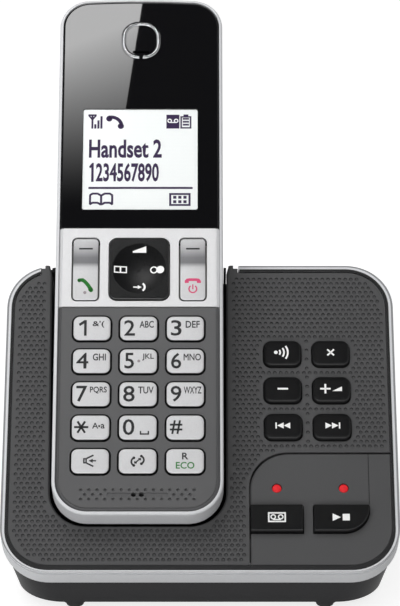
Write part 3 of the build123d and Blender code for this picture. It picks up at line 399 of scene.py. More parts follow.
@dataclass(frozen=True)
class DisplayFilm(Finish):
    """Reflective display behind glass: a pale field with its fine grid of picture dots."""

    colour: str = "#f1f4f3"
    grid: str = "#e3e8e8"
    dot: float = 0.32
    line: float = 0.06

    def feeds(self, graph: Graph, place: Socket) -> Feeds:
        """Say what feeds the shader, place by place."""
        colours = (self.colour, self.colour, self.grid)
        dots = graph.bricks(place, self.dot, colours, self.line, (1.0, 1.0), offset=0.0)
        return {"Base Color": dots.outputs["Color"]}


@dataclass(frozen=True)
class LensRed(TwoTone):
    """Red tinted acrylic lens: a deep, slightly rippled colour that glows a little."""

    colour: str = "#e0242c"
    shade: str = "#a80d16"
    ripple: float = 0.5
    glow: float = 0.35

    def feeds(self, graph: Graph, place: Socket) -> Feeds:
        """Say what feeds the shader, place by place."""
        tint = self.tint(graph, graph.noise(place, self.ripple))
        return {"Base Color": tint, "Emission Color": tint, "Emission Strength": self.glow}


@dataclass(frozen=True)
class CircuitLaminate(Finish):
    """Solder mask on glass-fibre board: green with slightly raised tracks."""

    colours: tuple[str, ...] = ("#1e5a34", "#245f3a", "#2f7a48")
    pitch: float = 1.6
    track: float = 0.12
    block: Point = (2.4, 0.8)
    relief: float = 0.03

    def feeds(self, graph: Graph, place: Socket) -> Feeds:
        """Say what feeds the shader, place by place."""
        tracks = graph.bricks(place, self.pitch, self.colours, self.track, self.block).outputs
        return {"Base Color": tracks["Color"], "Normal": graph.bump(tracks["Fac"], self.relief)}


@dataclass(frozen=True)
class ScreenInk(Finish):
    """Screen-printed ink: an opaque matt film with slightly uneven cover."""

    colour: str = "#2b2b2d"
    mesh: float = 0.3
    thinned: float = 1.25
    haze: float = 0.004

    def feeds(self, graph: Graph, place: Socket) -> Feeds:
        """Say what feeds the shader, place by place."""
        base = linear(self.colour)
        pale = (*(min(1.0, c * self.thinned + self.haze) for c in base[:3]), 1.0)
        return {"Base Color": graph.mix(graph.noise(place, self.mesh), base, pale)}


@dataclass(frozen=True)
class StudioFloor(TwoTone):
    """Pale floor with faint specks, which glows only for the rays that look at the backdrop."""

    colour: str = "#c0c0c0"
    shade: str = "#bababa"
    speck: float = 2.5
    glow: float = 0.78

    def feeds(self, graph: Graph, place: Socket) -> Feeds:
        """Say what feeds the shader, place by place."""
        return {
            "Base Color": self.tint(graph, graph.noise(place, self.speck)),
            "Emission Color": WHITE,
            "Emission Strength": graph.maths("MULTIPLY", graph.backdrop_rays(), self.glow),
        }


FINISHES: dict[Slot, Finish] = {
    # Satin silver: reads almost white where it faces the light and falls to grey.
    Slot.SILVER_SHELL: SilverLacquer(
        "silver lacquer on ABS", 0.45, 0.05, ior=1.2, colour="#d8d9db", shade="#cacbce"
    ),
    # Paler satin silver of the plate between keypad and window.
    Slot.BRIGHT_SILVER: SilverLacquer(
        "bright silver lacquer", 0.42, 0.1, colour="#e0e0e1", shade="#d4d4d6"
    ),
    # Pearly key caps: the silver is soft, so legends stay readable from every side.
    Slot.KEY_SILVER: SilverLacquer("pearl silver key caps", 0.42, 0.15, colour="#d6d6d7", shade="#c6c6c8"),
    # Mid grey metallic moulding round the keys.
    Slot.KEYPAD_GREY: MouldedPlastic(
        "grey moulded ABS", 0.46, 0.05, colour="#5e5e5f", shade="#585859", grain=0.3, relief=0.006
    ),
    # Charcoal top panel, fine spark grain.
    Slot.PANEL_GREY: MouldedPlastic(
        "charcoal moulded ABS", 0.52, colour="#4f4f50", shade="#4a4a4b", grain=0.35, relief=0.01
    ),
    # Black window: a hard edged reflection on deep black.
    Slot.GLOSS_BLACK: GlossAcrylic("polished black acrylic", 0.008, ior=1.49),
    # Dished navigator: satin black that shows its hollow by a soft gleam.
    Slot.NAVIGATOR_BLACK: MouldedPlastic(
        "satin black polycarbonate", 0.3, ior=1.58, colour="#101011", shade="#0d0d0e", grain=0.2, relief=0.002
    ),
    # Lower shell and rear case: matt black with a coarser grain.
    Slot.SHELL_BLACK: MouldedPlastic(
        "matt black moulded ABS", 0.55, ior=1.36, colour="#19191b", shade="#151517", grain=0.5, relief=0.02
    ),
    Slot.EARPIECE_CHROME: PlatedMetal(
        "satin chrome plated ring", 0.2, 1.0, colour="#cfd0d2", shade="#b9babd"
    ),
    Slot.DISPLAY_GLASS: DisplayFilm("display under glass", 0.25, coat=0.5, coat_roughness=0.04),
    # Soft keys: black silicone, a dry sheen on rounded shoulders.
    Slot.SOFT_KEY_RUBBER: MouldedPlastic(
        "black silicone rubber", 0.5, ior=1.41, colour="#111112", shade="#0e0e0f", grain=0.25, relief=0.003
    ),
    Slot.HARD_KEY_BLACK: MouldedPlastic(
        "satin black key caps", 0.42, colour="#0b0b0c", shade="#09090a", grain=0.25, relief=0.003
    ),
    Slot.LAMP_RED: LensRed("frosted red acrylic lens", 0.5, ior=1.49),
    Slot.FOOT_RUBBER: MouldedPlastic(
        "black rubber foot", 0.75, colour="#161616", shade="#1c1c1c", grain=0.6, relief=0.03
    ),
    Slot.SILICONE_WHITE: MouldedPlastic(
        "white silicone mat", 0.55, ior=1.41, colour="#d8d8d4", shade="#cfcfca", grain=0.4, relief=0.004
    ),
    Slot.CIRCUIT_BOARD: CircuitLaminate("solder masked laminate", 0.4),
    Slot.CONTACT_METAL: PlatedMetal("nickel plated brass", 0.22, 1.0, colour="#d8cba2", shade="#c2b184"),
    Slot.SCREW_STEEL: PlatedMetal("zinc plated steel", 0.3, 1.0, colour="#b9bbbd", shade="#9fa2a5"),
    Slot.CELL_SLEEVE: MouldedPlastic(
        "shrunk cell sleeve", 0.3, colour="#3f6a54", shade="#376048", grain=0.8, relief=0.004
    ),
    Slot.DEVICE_BLACK: MouldedPlastic(
        "black device housing", 0.45, colour="#202022", shade="#1a1a1c", grain=0.4, relief=0.01
    ),
    Slot.SOCKET_PLASTIC: MouldedPlastic(
        "black nylon socket", 0.5, colour="#232325", shade="#1d1d1f", grain=0.4, relief=0.008
    ),
}


DETAILS: dict[Detail, Finish] = {
    # Rockers: the key silver with painted shade, darkest just above the middle of the key.
    Detail.ROCKER: ShadePaintedSilver("faded silver rocker caps", 0.42, 0.15, colour="#d6d6d7", shade="#c6c6c8"),
    # Sides of a key cap in dark plastic, as painted shade: they draw the dark line round each key.
    Detail.KEY_SKIRT: MouldedPlastic(
        "unpainted black key skirt", 0.5, colour="#0d0d0e", shade="#0b0b0c", grain=0.3, relief=0.004
    ),
    # Outer band of the base's rim: painted shade, a duller grey beside its bright inner edge.
    Detail.RIM_BAND: SilverLacquer("dull silver band", 0.5, 0.05, ior=1.2, colour="#8f9092", shade="#838486"),
    # Slopes of the small dots, the dark strip by the rim and the crease line: the panel's own plastic,
    # rougher, and darker as painted shade where less light comes.
    Detail.DIMPLE: MouldedPlastic(
        "rough charcoal ABS", 0.6, colour="#262627", shade="#222223", grain=0.35, relief=0.01
    ),
}


@dataclass(frozen=True)
class Slope:
    """A sloped face to work on: x across, y up the slope, z out of the face, in millimetres."""

    origin: Vector
    normal: Vector

    @property
    def along(self) -> Vector:
        """Direction up the slope."""
        return self.normal.cross(ACROSS)

    @property
    def matrix(self) -> Matrix:
        """Transform from the slope's millimetres to the world's metres."""
        columns = [axis * MM for axis in (ACROSS, self.along, self.normal)]
        return Matrix([(*(c[i] for c in columns), self.origin[i]) for i in range(3)] + [(0, 0, 0, 1)])

    @classmethod
    def on(cls, node: bpy.types.Object, normal: Vector) -> Slope:
        """Lay a slope on a node: middle of its width, its lower edge and its front.

        Args:
            node: Node that the slope lies on.
            normal: Direction out of the face.

        Returns:
            The slope.
        """
        low, high = cls(Vector(), normal).extent(node)
        local = Vector(((low.x + high.x) / 2, low.y, high.z))
        return cls(cls(Vector(), normal).matrix @ local, normal)

    def extent(self, node: bpy.types.Object) -> tuple[Vector, Vector]:
        """Measure a node on this slope.

        Args:
            node: Object whose vertices are in world metres.

        Returns:
            Lowest and highest corners in the slope's millimetres.
        """
        points = np.empty(len(node.data.vertices) * 3)
        node.data.vertices.foreach_get("co", points)
        back = np.array(self.matrix.inverted())
        local = points.reshape(-1, 3) @ back[:3, :3].T + back[:3, 3]
        return Vector(local.min(axis=0)), Vector(local.max(axis=0))


@dataclass
class Bench:
    """A mesh being shaped in the millimetres of one slope."""

    slope: Slope
    mesh: bmesh.types.BMesh = field(default_factory=bmesh.new)

    def plate(
        self, width: float, height: float, radius: float, centre: Point, level: float, segments: int = 6
    ) -> Face:
        """Lay down a flat face with rounded corners.

        Args:
            width: Size across.
            height: Size up the slope.
            radius: Corner radius.
            centre: Middle of the face.
            level: Height above the slope.
            segments: Straight runs in each corner.

        Returns:
            The face.
        """
        known = set(self.mesh.faces)
        corners = [
            self.mesh.verts.new((centre[0] + sx * width / 2, centre[1] + sy * height / 2, level))
            for sx, sy in CORNERS
        ]
        self.mesh.faces.new(corners)
        self.bevel(corners, radius, "VERTICES", segments)
        return next(face for face in self.mesh.faces if face not in known)

    def bevel(self, geom: list[Vert] | list[Edge], radius: float, affect: str, segments: int) -> None:
        """Round off some corners of flat faces, or some edges."""
        arc = {"offset_type": "OFFSET", "profile": 0.5, "material": -1}
        bmesh.ops.bevel(self.mesh, geom=geom, offset=radius, affect=affect, segments=segments, **arc)

    def rise(self, face: Face, steps: list[Point]) -> Face:
        """Raise a face through a profile of steps.

        Args:
            face: Face to raise.
            steps: Pairs of how far the face draws in and how far it goes up.

        Returns:
            The top face.
        """
        for inset, lift in steps:
            if inset:
                bmesh.ops.inset_individual(
                    self.mesh, faces=[face], thickness=inset, depth=lift, use_even_offset=True
                )
            else:
                face = bmesh.ops.extrude_discrete_faces(self.mesh, faces=[face])["faces"][0]
                bmesh.ops.translate(self.mesh, verts=face.verts, vec=(0, 0, lift))
        return face

    def close(self) -> None:
        """Fill what is open below and turn every face outwards."""
        open_edges = [edge for edge in self.mesh.edges if edge.is_boundary]
        if open_edges:
            bmesh.ops.holes_fill(self.mesh, edges=open_edges, sides=0)
        bmesh.ops.recalc_face_normals(self.mesh, faces=self.mesh.faces)

    def cut(self, place: Place, normal: Place) -> None:
        """Cut every face along a plane, with nothing taken away."""
        geom = [*self.mesh.verts, *self.mesh.edges, *self.mesh.faces]
        bmesh.ops.bisect_plane(self.mesh, geom=geom, plane_co=place, plane_no=normal)

    def notch(self, place: Point, half: float, way: int) -> None:
        """Cut a gap through the mesh on one side of a place.

        Args:
            place: Middle of the gap across, and where it starts up the slope.
            half: Half of its width.
            way: One for a gap above the place, minus one for a gap below it.
        """
        for side in (-1, 1):
            self.cut((place[0] + side * half, 0, 0), (1, 0, 0))
        middles = [(face, face.calc_center_median()) for face in self.mesh.faces]
        gone = [
            face for face, at in middles if abs(at.x - place[0]) < half and way * (at.y - place[1]) > 0
        ]
        bmesh.ops.delete(self.mesh, geom=gone, context="FACES")

    def thicken(self, height: float) -> None:
        """Raise flat faces into a closed sheet.

        Args:
            height: Thickness of the sheet.
        """
        grown = bmesh.ops.extrude_face_region(self.mesh, geom=self.mesh.faces[:])["geom"]
        lid = [item for item in grown if isinstance(item, Vert)]
        bmesh.ops.translate(self.mesh, verts=lid, vec=(0, 0, height))
        bmesh.ops.recalc_face_normals(self.mesh, faces=self.mesh.faces)

    def post(self, middle: Place, radius: float, length: float, segments: int = 20) -> None:
        """Add a round post that stands along the normal.

        Args:
            middle: Middle of the post.
            radius: Its radius.
            length: Its length.
            segments: Flats round it.
        """
        bmesh.ops.create_cone(
            self.mesh,
            cap_ends=True,
            segments=segments,
            radius1=radius,
            radius2=radius,
            depth=length,
            matrix=Matrix.Translation(middle),
        )

    def piece(
        self,
        name: str,
        body: str,
        slot: Slot,
        materials: list[Material],
        replaces: str | None = None,
        crease: float = 32.0,
    ) -> None:
        """Turn the mesh into a piece that rides on a body.

        Args:
            name: Name of the piece.
            body: Body that carries it.
            slot: Material slot of the record; not used.
            materials: Materials of the piece, in slot order.
            replaces: Node that the piece stands for.
            crease: Angle in degrees above which an edge stays sharp.
        """
        for face in self.mesh.faces:
            face.smooth = True
        for edge in self.mesh.edges:
            edge.smooth = edge.is_manifold and edge.calc_face_angle(math.pi) < math.radians(crease)
        self.mesh.transform(self.slope.matrix)
        data = bpy.data.meshes.new(name)
        self.mesh.to_mesh(data)
        self.mesh.free()
        for material in materials:
            data.materials.append(material)
        piece = bpy.data.objects.new(name, data)
        bpy.context.scene.collection.objects.link(piece)
        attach(piece, body)
        if replaces:
            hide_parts(replaces)
        LOG.info("%s rides on %s, %d faces", name, body, len(data.polygons))


@dataclass
class Print:
    """Marks printed on one face: flat shapes round a place, raised into a thin film of ink."""

    slope: Slope
    centre: Point
    level: float
    film: float = 0.03
    weld: float = 1e-4
    font_weld: float = 1e-5
    font_steps: int = 3
    disc_sides: int = 20
    arc_step: float = 15.0
    arc_least: int = 4
    sheet: bmesh.types.BMesh = field(default_factory=bmesh.new)

    def shape(self, *points: Point) -> None:
        """Add a filled outline through some points."""
        self.sheet.faces.new([self.sheet.verts.new((x, y, 0)) for x, y in points])

    def bar(self, x: float, y: float, width: float, height: float, turn: float = 0.0) -> None:
        """Add a straight bar.

        Args:
            x: Middle, across.
            y: Middle, up the slope.
            width: Length before it is turned.
            height: Thickness before it is turned.
            turn: Turn in degrees, anticlockwise.
        """
        c, s = math.cos(math.radians(turn)), math.sin(math.radians(turn))
        ends = [(sx * width / 2, sy * height / 2) for sx, sy in CORNERS]
        self.shape(*[(x + a * c - b * s, y + a * s + b * c) for a, b in ends])

    def line(self, start: Point, end: Point, thick: float) -> None:
        """Add a straight bar from one place to another."""
        run = Vector(end) - Vector(start)
        turn = math.degrees(math.atan2(run.y, run.x))
        self.bar((start[0] + end[0]) / 2, (start[1] + end[1]) / 2, run.length, thick, turn)

    def box(self, x: float, y: float, width: float, height: float, line: float) -> None:
        """Add the outline of a box, drawn with four bars."""
        for side in (-1, 1):
            self.bar(x, y + side * (height - line) / 2, width, line)
            self.bar(x + side * (width - line) / 2, y, line, height - 2 * line)

    def disc(self, x: float, y: float, radius: float) -> None:
        """Add a filled disc."""
        place = Matrix.Translation((x, y, 0))
        sides = self.disc_sides
        bmesh.ops.create_circle(self.sheet, cap_ends=True, segments=sides, radius=radius, matrix=place)

    def arc(self, x: float, y: float, radius: float, line: float, start: float, sweep: float) -> None:
        """Add a curved line.

        Args:
            x: Centre, across.
            y: Centre, up the slope.
            radius: Radius at the middle of the line.
            line: Thickness of the line.
            start: Angle in degrees at which it starts.
            sweep: Angle in degrees that it covers.
        """
        direction = Vector((math.cos(math.radians(start)), math.sin(math.radians(start)), 0))
        centre = Vector((x, y, 0))
        ends = [self.sheet.verts.new(centre + direction * (radius + side * line / 2)) for side in (-1, 1)]
        edge = self.sheet.edges.new(ends)
        bmesh.ops.spin(
            self.sheet,
            geom=[*ends, edge],
            cent=centre,
            axis=(0, 0, 1),
            angle=math.radians(sweep),
            steps=max(self.arc_least, round(abs(sweep) / self.arc_step)),
            use_merge=abs(sweep) >= 360,
        )

    def word(
        self, text: str, x: float, y: float, height: float, width: float | None = None, bold: float = 0.0
    ) -> None:
        """Add a word in the built-in font.

        Args:
            text: Word to print.
            x: Middle, across.
            y: Middle, up the slope.
            height: Height of its tallest mark.
            width: Full width, or None to keep the font's own proportions.
            bold: How far the strokes grow, as a share of the font's size.
        """
        curve = bpy.data.curves.new("word", "FONT")
        curve.body = text
        curve.resolution_u = self.font_steps
        holder = bpy.data.objects.new("word", curve)
        bpy.context.scene.collection.objects.link(holder)
        bpy.context.view_layer.update()
        shown = holder.evaluated_get(bpy.context.evaluated_depsgraph_get())
        glyphs = bpy.data.meshes.new_from_object(shown)
        known = set(self.sheet.verts)
        self.sheet.from_mesh(glyphs)
        fresh = [vert for vert in self.sheet.verts if vert not in known]
        self.embolden(fresh, bold)
        fresh = [vert for vert in fresh if vert.is_valid]
        low = Vector(min(vert.co[i] for vert in fresh) for i in range(3))
        high = Vector(max(vert.co[i] for vert in fresh) for i in range(3))
        size = high - low
        tall = height / size.y
        wide = width / size.x if width else tall
        bmesh.ops.translate(self.sheet, verts=fresh, vec=-(low + high) / 2)
        bmesh.ops.scale(self.sheet, verts=fresh, vec=(wide, tall, 1))
        bmesh.ops.translate(self.sheet, verts=fresh, vec=(x, y, 0))
        bpy.data.objects.remove(holder)
        bpy.data.curves.remove(curve)
        bpy.data.meshes.remove(glyphs)

    def embolden(self, verts: list[Vert], bold: float) -> None:
        """Grow the strokes of some flat marks.

        Args:
            verts: Points of the marks.
            bold: How far each outline moves out.
        """
        bmesh.ops.remove_doubles(self.sheet, verts=verts, dist=self.font_weld)
        outwards: dict[Vert, list[Vector]] = {}
        for edge in {edge for vert in verts if vert.is_valid for edge in vert.link_edges}:
            if edge.is_boundary:
                loop = edge.link_loops[0]
                run = (loop.link_loop_next.vert.co - loop.vert.co).normalized()
                out = run.cross(loop.face.normal)
                for vert in edge.verts:
                    outwards.setdefault(vert, []).append(out)
        for vert, outs in outwards.items():
            mean = sum(outs, Vector())
            vert.co += mean * bold * len(outs) / max(mean.length_squared, 1.0)

    def stamp(
        self,
        name: str,
        body: str,
        slot: Slot,
        material: Material,
        surface: Height | None = None,
    ) -> None:
        """Raise the marks into ink and give them to a body.

        Args:
            name: Name of the piece.
            body: Body that carries it.
            slot: Material slot of the record.
            material: The ink.
            surface: Optional height of the printed face by place, for a face that isn't flat.
        """
        bmesh.ops.remove_doubles(self.sheet, verts=self.sheet.verts, dist=self.weld)
        bench = Bench(self.slope, self.sheet)
        bench.thicken(self.film)
        for vert in self.sheet.verts:
            lift = surface(vert.co.x, vert.co.y) if surface else 0.0
            vert.co += Vector((self.centre[0], self.centre[1], self.level + lift))
        bench.piece(name, body, slot, [material])


@dataclass
class Workshop:
    """What every sub-assembly shares: the nodes, the two slopes and the finishes."""

    nodes: dict[str, bpy.types.Object]
    handset: Slope
    panel: Slope
    looks: dict[Enum, Material] = field(default_factory=dict)
    slots: dict[str, Slot] = field(default_factory=dict)

    def mix_finishes(self) -> None:
        """Make every finish and every ink once."""
        for key, finish in (FINISHES | DETAILS).items():
            self.looks[key] = finish.material()
        for ink in Ink:
            name = "screen ink " + ink.name.lower().replace("_", " ")
            self.looks[ink] = ScreenInk(name, 0.5, colour=ink.value).material()

    def dress_nodes(self) -> None:
        """Note the slot of every node and give it the finish of that slot."""
        for name, node in self.nodes.items():
            self.slots[name] = Slot(node.data.materials[0].name.split(".")[0])
            node.data.materials[0] = self.looks[self.slots[name]]


@dataclass(frozen=True)
class KeyShape:
    """Shape of a key that a flange keeps under its panel, in millimetres."""

    radius: float
    crown: tuple[Point, ...]
    flange: float
    flange_thickness: float
    plunger_radius: float
    plunger_length: float


@dataclass
class Assembly:
    """A sub-assembly whose face lies on one slope."""

    shop: Workshop
    slope: Slope
    slack: float = 0.01

    def place(self, node: str) -> tuple[Point, Vector, float]:
        """Measure a node on the slope.

        Args:
            node: Name of the node.

        Returns:
            Its middle, its size and the height of its top.
        """
        low, high = self.slope.extent(self.shop.nodes[node])
        return ((low.x + high.x) / 2, (low.y + high.y) / 2), high - low, high.z

    @contextmanager
    def sign(
        self, name: str, node: str, ink: Ink = Ink.LEGEND, surface: Height | None = None
    ) -> Iterator[Print]:
        """Print a sign on the top of a node that is a body of its own.

        Args:
            name: Name of the printed piece.
            node: Node that carries it.
            ink: Ink to print with.
            surface: Optional height of the printed face by place, for a face that isn't flat.

        Yields:
            The print to draw the sign on.
        """
        centre, _, top = self.place(node)
        sheet = Print(self.slope, centre, top)
        yield sheet
        sheet.stamp(name, node, self.shop.slots[node], self.shop.looks[ink], surface)

    def key_cap(self, node: str, shape: KeyShape, *skirt: Material) -> None:
        """Make a crowned cap in place of a key's node, with its flange and plunger.

        Args:
            node: Node of the key.
            shape: Shape of the cap.
            *skirt: Material below the crown, if it differs.
        """
        centre, size, top = self.place(node)
        slot = self.shop.slots[node]
        crown = sum(lift for _, lift in shape.crown)
        foot = top - size.z + shape.plunger_length
        wall = top - crown - foot - shape.flange_thickness
        bench = Bench(self.slope)
        face = bench.plate(size.x, size.y, shape.radius + shape.flange, centre, foot)
        cap = bench.rise(face, [(0, shape.flange_thickness), (shape.flange, 0), (0, wall)])
        # With a skirt, the sides and flange are dark: painted shade round the key.
        for side in bench.mesh.faces:
            side.material_index = int(bool(skirt) and side != cap)
        bench.rise(cap, list(shape.crown))
        middle = (*centre, foot - shape.plunger_length / 2)
        bench.post(middle, shape.plunger_radius, shape.plunger_length)
        bench.close()
        bench.piece(f"{node}_cap", node, slot, [self.shop.looks[slot], *skirt], node)


@dataclass
class Handset(Assembly):
    """The handset's front: key caps, rockers, navigator marks, earpiece ring and display."""

    key: KeyShape = KeyShape(
        1.75, ((0.06, 0.2), (0.12, 0.13), (0.22, 0.09), (0.4, 0.05)), 0.9, 0.9, 1.2, 1.2
    )
    rocker_foot: float = 1.4
    rocker_wall: float = 1.0
    rocker_crease: float = 24.0
    rocker_radius: float = 1.15
    rocker_crown: tuple[Point, ...] = ((0.06, 0.16), (0.12, 0.1), (0.2, 0.06))
    rocker_fall: float = 0.42
    # Painted shade along a rocker: place up the key from its middle, and how dark the silver is painted
    # there.
    rocker_painted_shade: tuple[Point, ...] = (
        (9.5, 0.1),
        (6.3, 0.45),
        (3.6, 0.95),
        (1.9, 1.0),
        (0.5, 0.2),
        (-0.8, 0.0),
    )
    talk_outline: tuple[Point, ...] = (
        (-2.25, -3.75),
        (-1.75, -4.15),
        (-1.15, -3.95),
        (-0.65, -4.25),
        (0.05, -5.0),
        (0.7, -5.95),
        (0.9, -6.75),
        (1.55, -7.1),
        (2.2, -6.2),
        (1.75, -5.6),
        (1.1, -4.6),
        (0.3, -3.7),
        (-0.6, -2.95),
        (-1.55, -3.0),
    )
    end_outline: tuple[Point, ...] = (
        (-2.33, -4.4),
        (-1.2, -4.4),
        (-1.1, -3.8),
        (1.1, -3.8),
        (1.2, -4.4),
        (2.33, -4.4),
        (2.3, -3.7),
        (1.8, -3.1),
        (1.0, -2.98),
        (-1.0, -2.98),
        (-1.8, -3.1),
        (-2.3, -3.7),
    )
    one_outline: tuple[Point, ...] = (
        (1.1, -2.38),
        (1.1, 2.38),
        (0.45, 2.38),
        (-1.15, 1.25),
        (-0.85, 0.55),
        (0.36, 1.35),
        (0.36, -2.38),
    )
    display_one: tuple[Point, ...] = (
        (3.3, -23.35),
        (3.3, -17.3),
        (2.85, -17.3),
        (1.95, -18.5),
        (2.2, -19.1),
        (2.6, -18.7),
        (2.6, -23.35),
    )
    display_margin: float = 0.1
    dish_depth: float = 0.75
    dish_radius: float = 40.0
    digit_height: float = 4.75
    digit_x: float = -2.6
    letters_height: float = 2.1
    letters_y: float = 1.1
    bold: float = 0.009
    letters_bold: float = 0.016
    display_bold: float = 0.026
    ring_band: float = 1.2
    ring_radius: float = 5.0
    ring_mouth: float = 1.2
    ring_edge: float = 0.42
    ring_crease: float = 40.0
    ring_steps: int = 4
    ring_sharp: float = 1.0
    legend: dict[str, tuple[float, str, float, float]] = field(
        default_factory=lambda: {
            "1": (2.3, "&'(", 1.85, 3.4),
            "2": (3.1, "ABC", 2.25, 4.05),
            "3": (3.05, "DEF", 2.07, 4.0),
            "4": (3.5, "GHI", 2.2, 3.7),
            "5": (2.7, "JKL", 2.7, 3.3),
            "6": (2.9, "MNO", 1.95, 4.9),
            "7": (3.1, "PQRS", 2.05, 4.75),
            "8": (3.25, "TUV", 2.15, 4.4),
            "9": (3.05, "WXYZ", 2.07, 5.0),
        }
    )

    def build(self) -> None:
        """Build and dress the whole front."""
        self.key_caps()
        self.legends()
        self.icon_keys()
        self.rockers()
        self.navigator_marks()
        self.earpiece()
        self.display()

    def key_caps(self) -> None:
        """Fifteen crowned caps whose dark sides are painted shade."""
        for node in [name for name in self.shop.nodes if name.startswith("key_") and name != "key_domes"]:
            self.key_cap(node, self.key, self.shop.looks[Detail.KEY_SKIRT])

    def legends(self) -> None:
        """Digits and letters of the number keys."""
        for digit, (width, letters, x, letters_width) in self.legend.items():
            with self.sign(f"legend_{digit}", f"key_{digit}") as sheet:
                if digit == "1":
                    sheet.shape(*[(self.digit_x + a, b) for a, b in self.one_outline])
                else:
                    sheet.word(digit, self.digit_x, 0, self.digit_height, width, self.bold)
                sheet.word(letters, x, self.letters_y, self.letters_height, letters_width, self.letters_bold)
        with self.sign("pip_5", "key_5", Ink.PIP) as pip:
            pip.disc(0.1, -0.1, 0.42)
        with self.sign("legend_0", "key_0") as zero:
            zero.word("0", self.digit_x, 0, self.digit_height, 3.25, self.bold)
            zero.bar(1.85, -2.05, 2.6, 0.4)
            for side in (-1, 1):
                zero.bar(1.85 + side * 1.1, -1.5, 0.4, 0.7)
        with self.sign("legend_star", "key_star") as star:
            for turn in (0, 58, -58):
                star.bar(self.digit_x, 0, 4.0, 0.6, turn)
            star.word("A", 1.3, 0.45, 1.75, None, self.letters_bold)
            star.disc(2.42, 0.3, 0.3)
            star.word("a", 3.4, 0.25, 1.35, None, self.letters_bold)
        with self.sign("legend_hash", "key_hash") as hash_:
            for side in (-1, 1):
                hash_.bar(-2.55 + side * 0.72, 0, 4.1, 0.56, 80)
                hash_.bar(-2.55, side * 0.72, 3.5, 0.56)

    def icon_keys(self) -> None:
        """Signs of the lowest row: loudspeaker, intercom and recall."""
        with self.sign("legend_speaker", "key_speaker") as speaker:
            speaker.box(-1.4, 0, 1.05, 1.6, 0.42)
            for side in (-1, 1):
                speaker.line((-0.95, side * 0.7), (0.95, side * 1.65), 0.46)
            speaker.shape((-0.4, 0), (0.75, -0.6), (0.75, 0.6))
            speaker.bar(1.2, 0, 1.0, 0.4)
        with self.sign("legend_intercom", "key_intercom") as intercom:
            for side in (-1, 1):
                intercom.arc(side * 0.5, side * 0.25, 1.25, 0.5, 115 if side < 0 else -65, 130)
                for end in (-1, 1):
                    intercom.disc(side * 1.05, side * 0.25 + end * 1.12, 0.4)
                intercom.bar(side * 0.58, side * 0.64, 0.75, 0.34)
                intercom.bar(side * 0.78, side * 0.42, 0.34, 0.6)
            intercom.bar(0, 0, 1.75, 0.36, 42)
        with self.sign("legend_recall", "key_recall") as recall:
            recall.word("R", 0, 1.4, 2.0, 1.75, self.letters_bold)
        with self.sign("legend_eco", "key_recall", Ink.ECO_GREEN) as eco:
            eco.word("ECO", 0, -1.33, 2.0, 5.2, self.letters_bold)

    def roof(self, half: float) -> Height:
        """Fall of a rocker's top towards its two ends: hollow above the ridge, straight below it.

        Args:
            half: Half of the rocker's length.

        Returns:
            A function from a place on the key to how far the top has fallen there.
        """
        return lambda x, y: -self.rocker_fall * (1 - (1 - y / half) ** 2 if y > 0 else -y / half)

    def rockers(self) -> None:
        """Two rocker keys with a ridge across the middle, painted shade along their silver, and their marks.
        """
        for node in ("talk_key", "end_key"):
            centre, size, top = self.place(node)
            fall = self.roof(size.y / 2)
            crown = sum(lift for _, lift in self.rocker_crown)
            foot = top - size.z + self.rocker_foot
            bench = Bench(self.slope)
            face = bench.plate(size.x, size.y, self.rocker_radius, centre, foot)
            cap = bench.rise(face, [(0, top - crown - foot)])
            # The rocker's sides take the dark skirt: painted shade round the key.
            for side in bench.mesh.faces:
                side.material_index = int(side != cap)
            bench.rise(cap, list(self.rocker_crown))
            for up, _ in (*self.rocker_painted_shade, (0.0, 0.0)):
                bench.cut((0, centre[1] + up, 0), (0, 1, 0))
            # Each point of the cap carries its share of painted shade, by its place up the key.
            places, values = zip(*sorted(self.rocker_painted_shade))
            fade = bench.mesh.verts.layers.float.new("fade")
            for vert in bench.mesh.verts:
                up = vert.co.y - centre[1]
                vert[fade] = float(np.interp(up, places, values))
                if vert.co.z > foot + self.rocker_wall:
                    vert.co.z += fall(0, up)
            bench.close()
            finishes = [self.shop.looks[Detail.ROCKER], self.shop.looks[Detail.KEY_SKIRT]]
            bench.piece(f"{node}_cap", node, Slot.KEY_SILVER, finishes, node, self.rocker_crease)
            with self.sign(f"{node}_dash", node, surface=fall) as dash:
                dash.bar(0, 6.34, 3.9, 0.48)
            if node == "talk_key":
                with self.sign("talk_pip", node, Ink.PIP, fall) as pip:
                    pip.disc(-0.14, -7.3, 0.46)
                with self.sign("talk_key_sign", node, Ink.TALK_GREEN, fall) as receiver:
                    receiver.shape(*self.talk_outline)
                    receiver.disc(-1.72, -3.58, 0.58)
                    receiver.disc(1.62, -6.55, 0.62)
            else:
                with self.sign("end_key_sign", node, Ink.END_RED, fall) as receiver:
                    receiver.shape(*self.end_outline)
                    receiver.arc(0, -6.2, 1.1, 0.4, 125, 290)
                    receiver.bar(0, -5.55, 0.36, 1.5)

    def dish(self, x: float, y: float) -> float:
        """Height of the navigator's hollow top at a place."""
        return min(0.0, (x * x + y * y) / (2 * self.dish_radius) - self.dish_depth)

    def navigator_marks(self) -> None:
        """White signs on the dished navigator."""
        with self.sign("navigator_marks", "navigator_key", Ink.WHITE, self.dish) as marks:
            marks.shape((-1.9, 5.03), (1.97, 5.03), (1.97, 6.96), (-1.9, 5.5))
            marks.box(-6.25, -0.2, 1.95, 2.1, 0.34)
            marks.box(-4.5, -0.2, 1.95, 2.1, 0.34)
            marks.arc(4.2, -0.25, 0.92, 0.38, 0, 360)
            marks.disc(6.0, -0.25, 1.15)
            marks.bar(-0.95, -5.65, 1.5, 0.4)
            marks.shape((-0.4, -6.3), (0.75, -5.65), (-0.4, -5.0))
            marks.arc(0.15, -5.65, 1.45, 0.58, -54, 108)

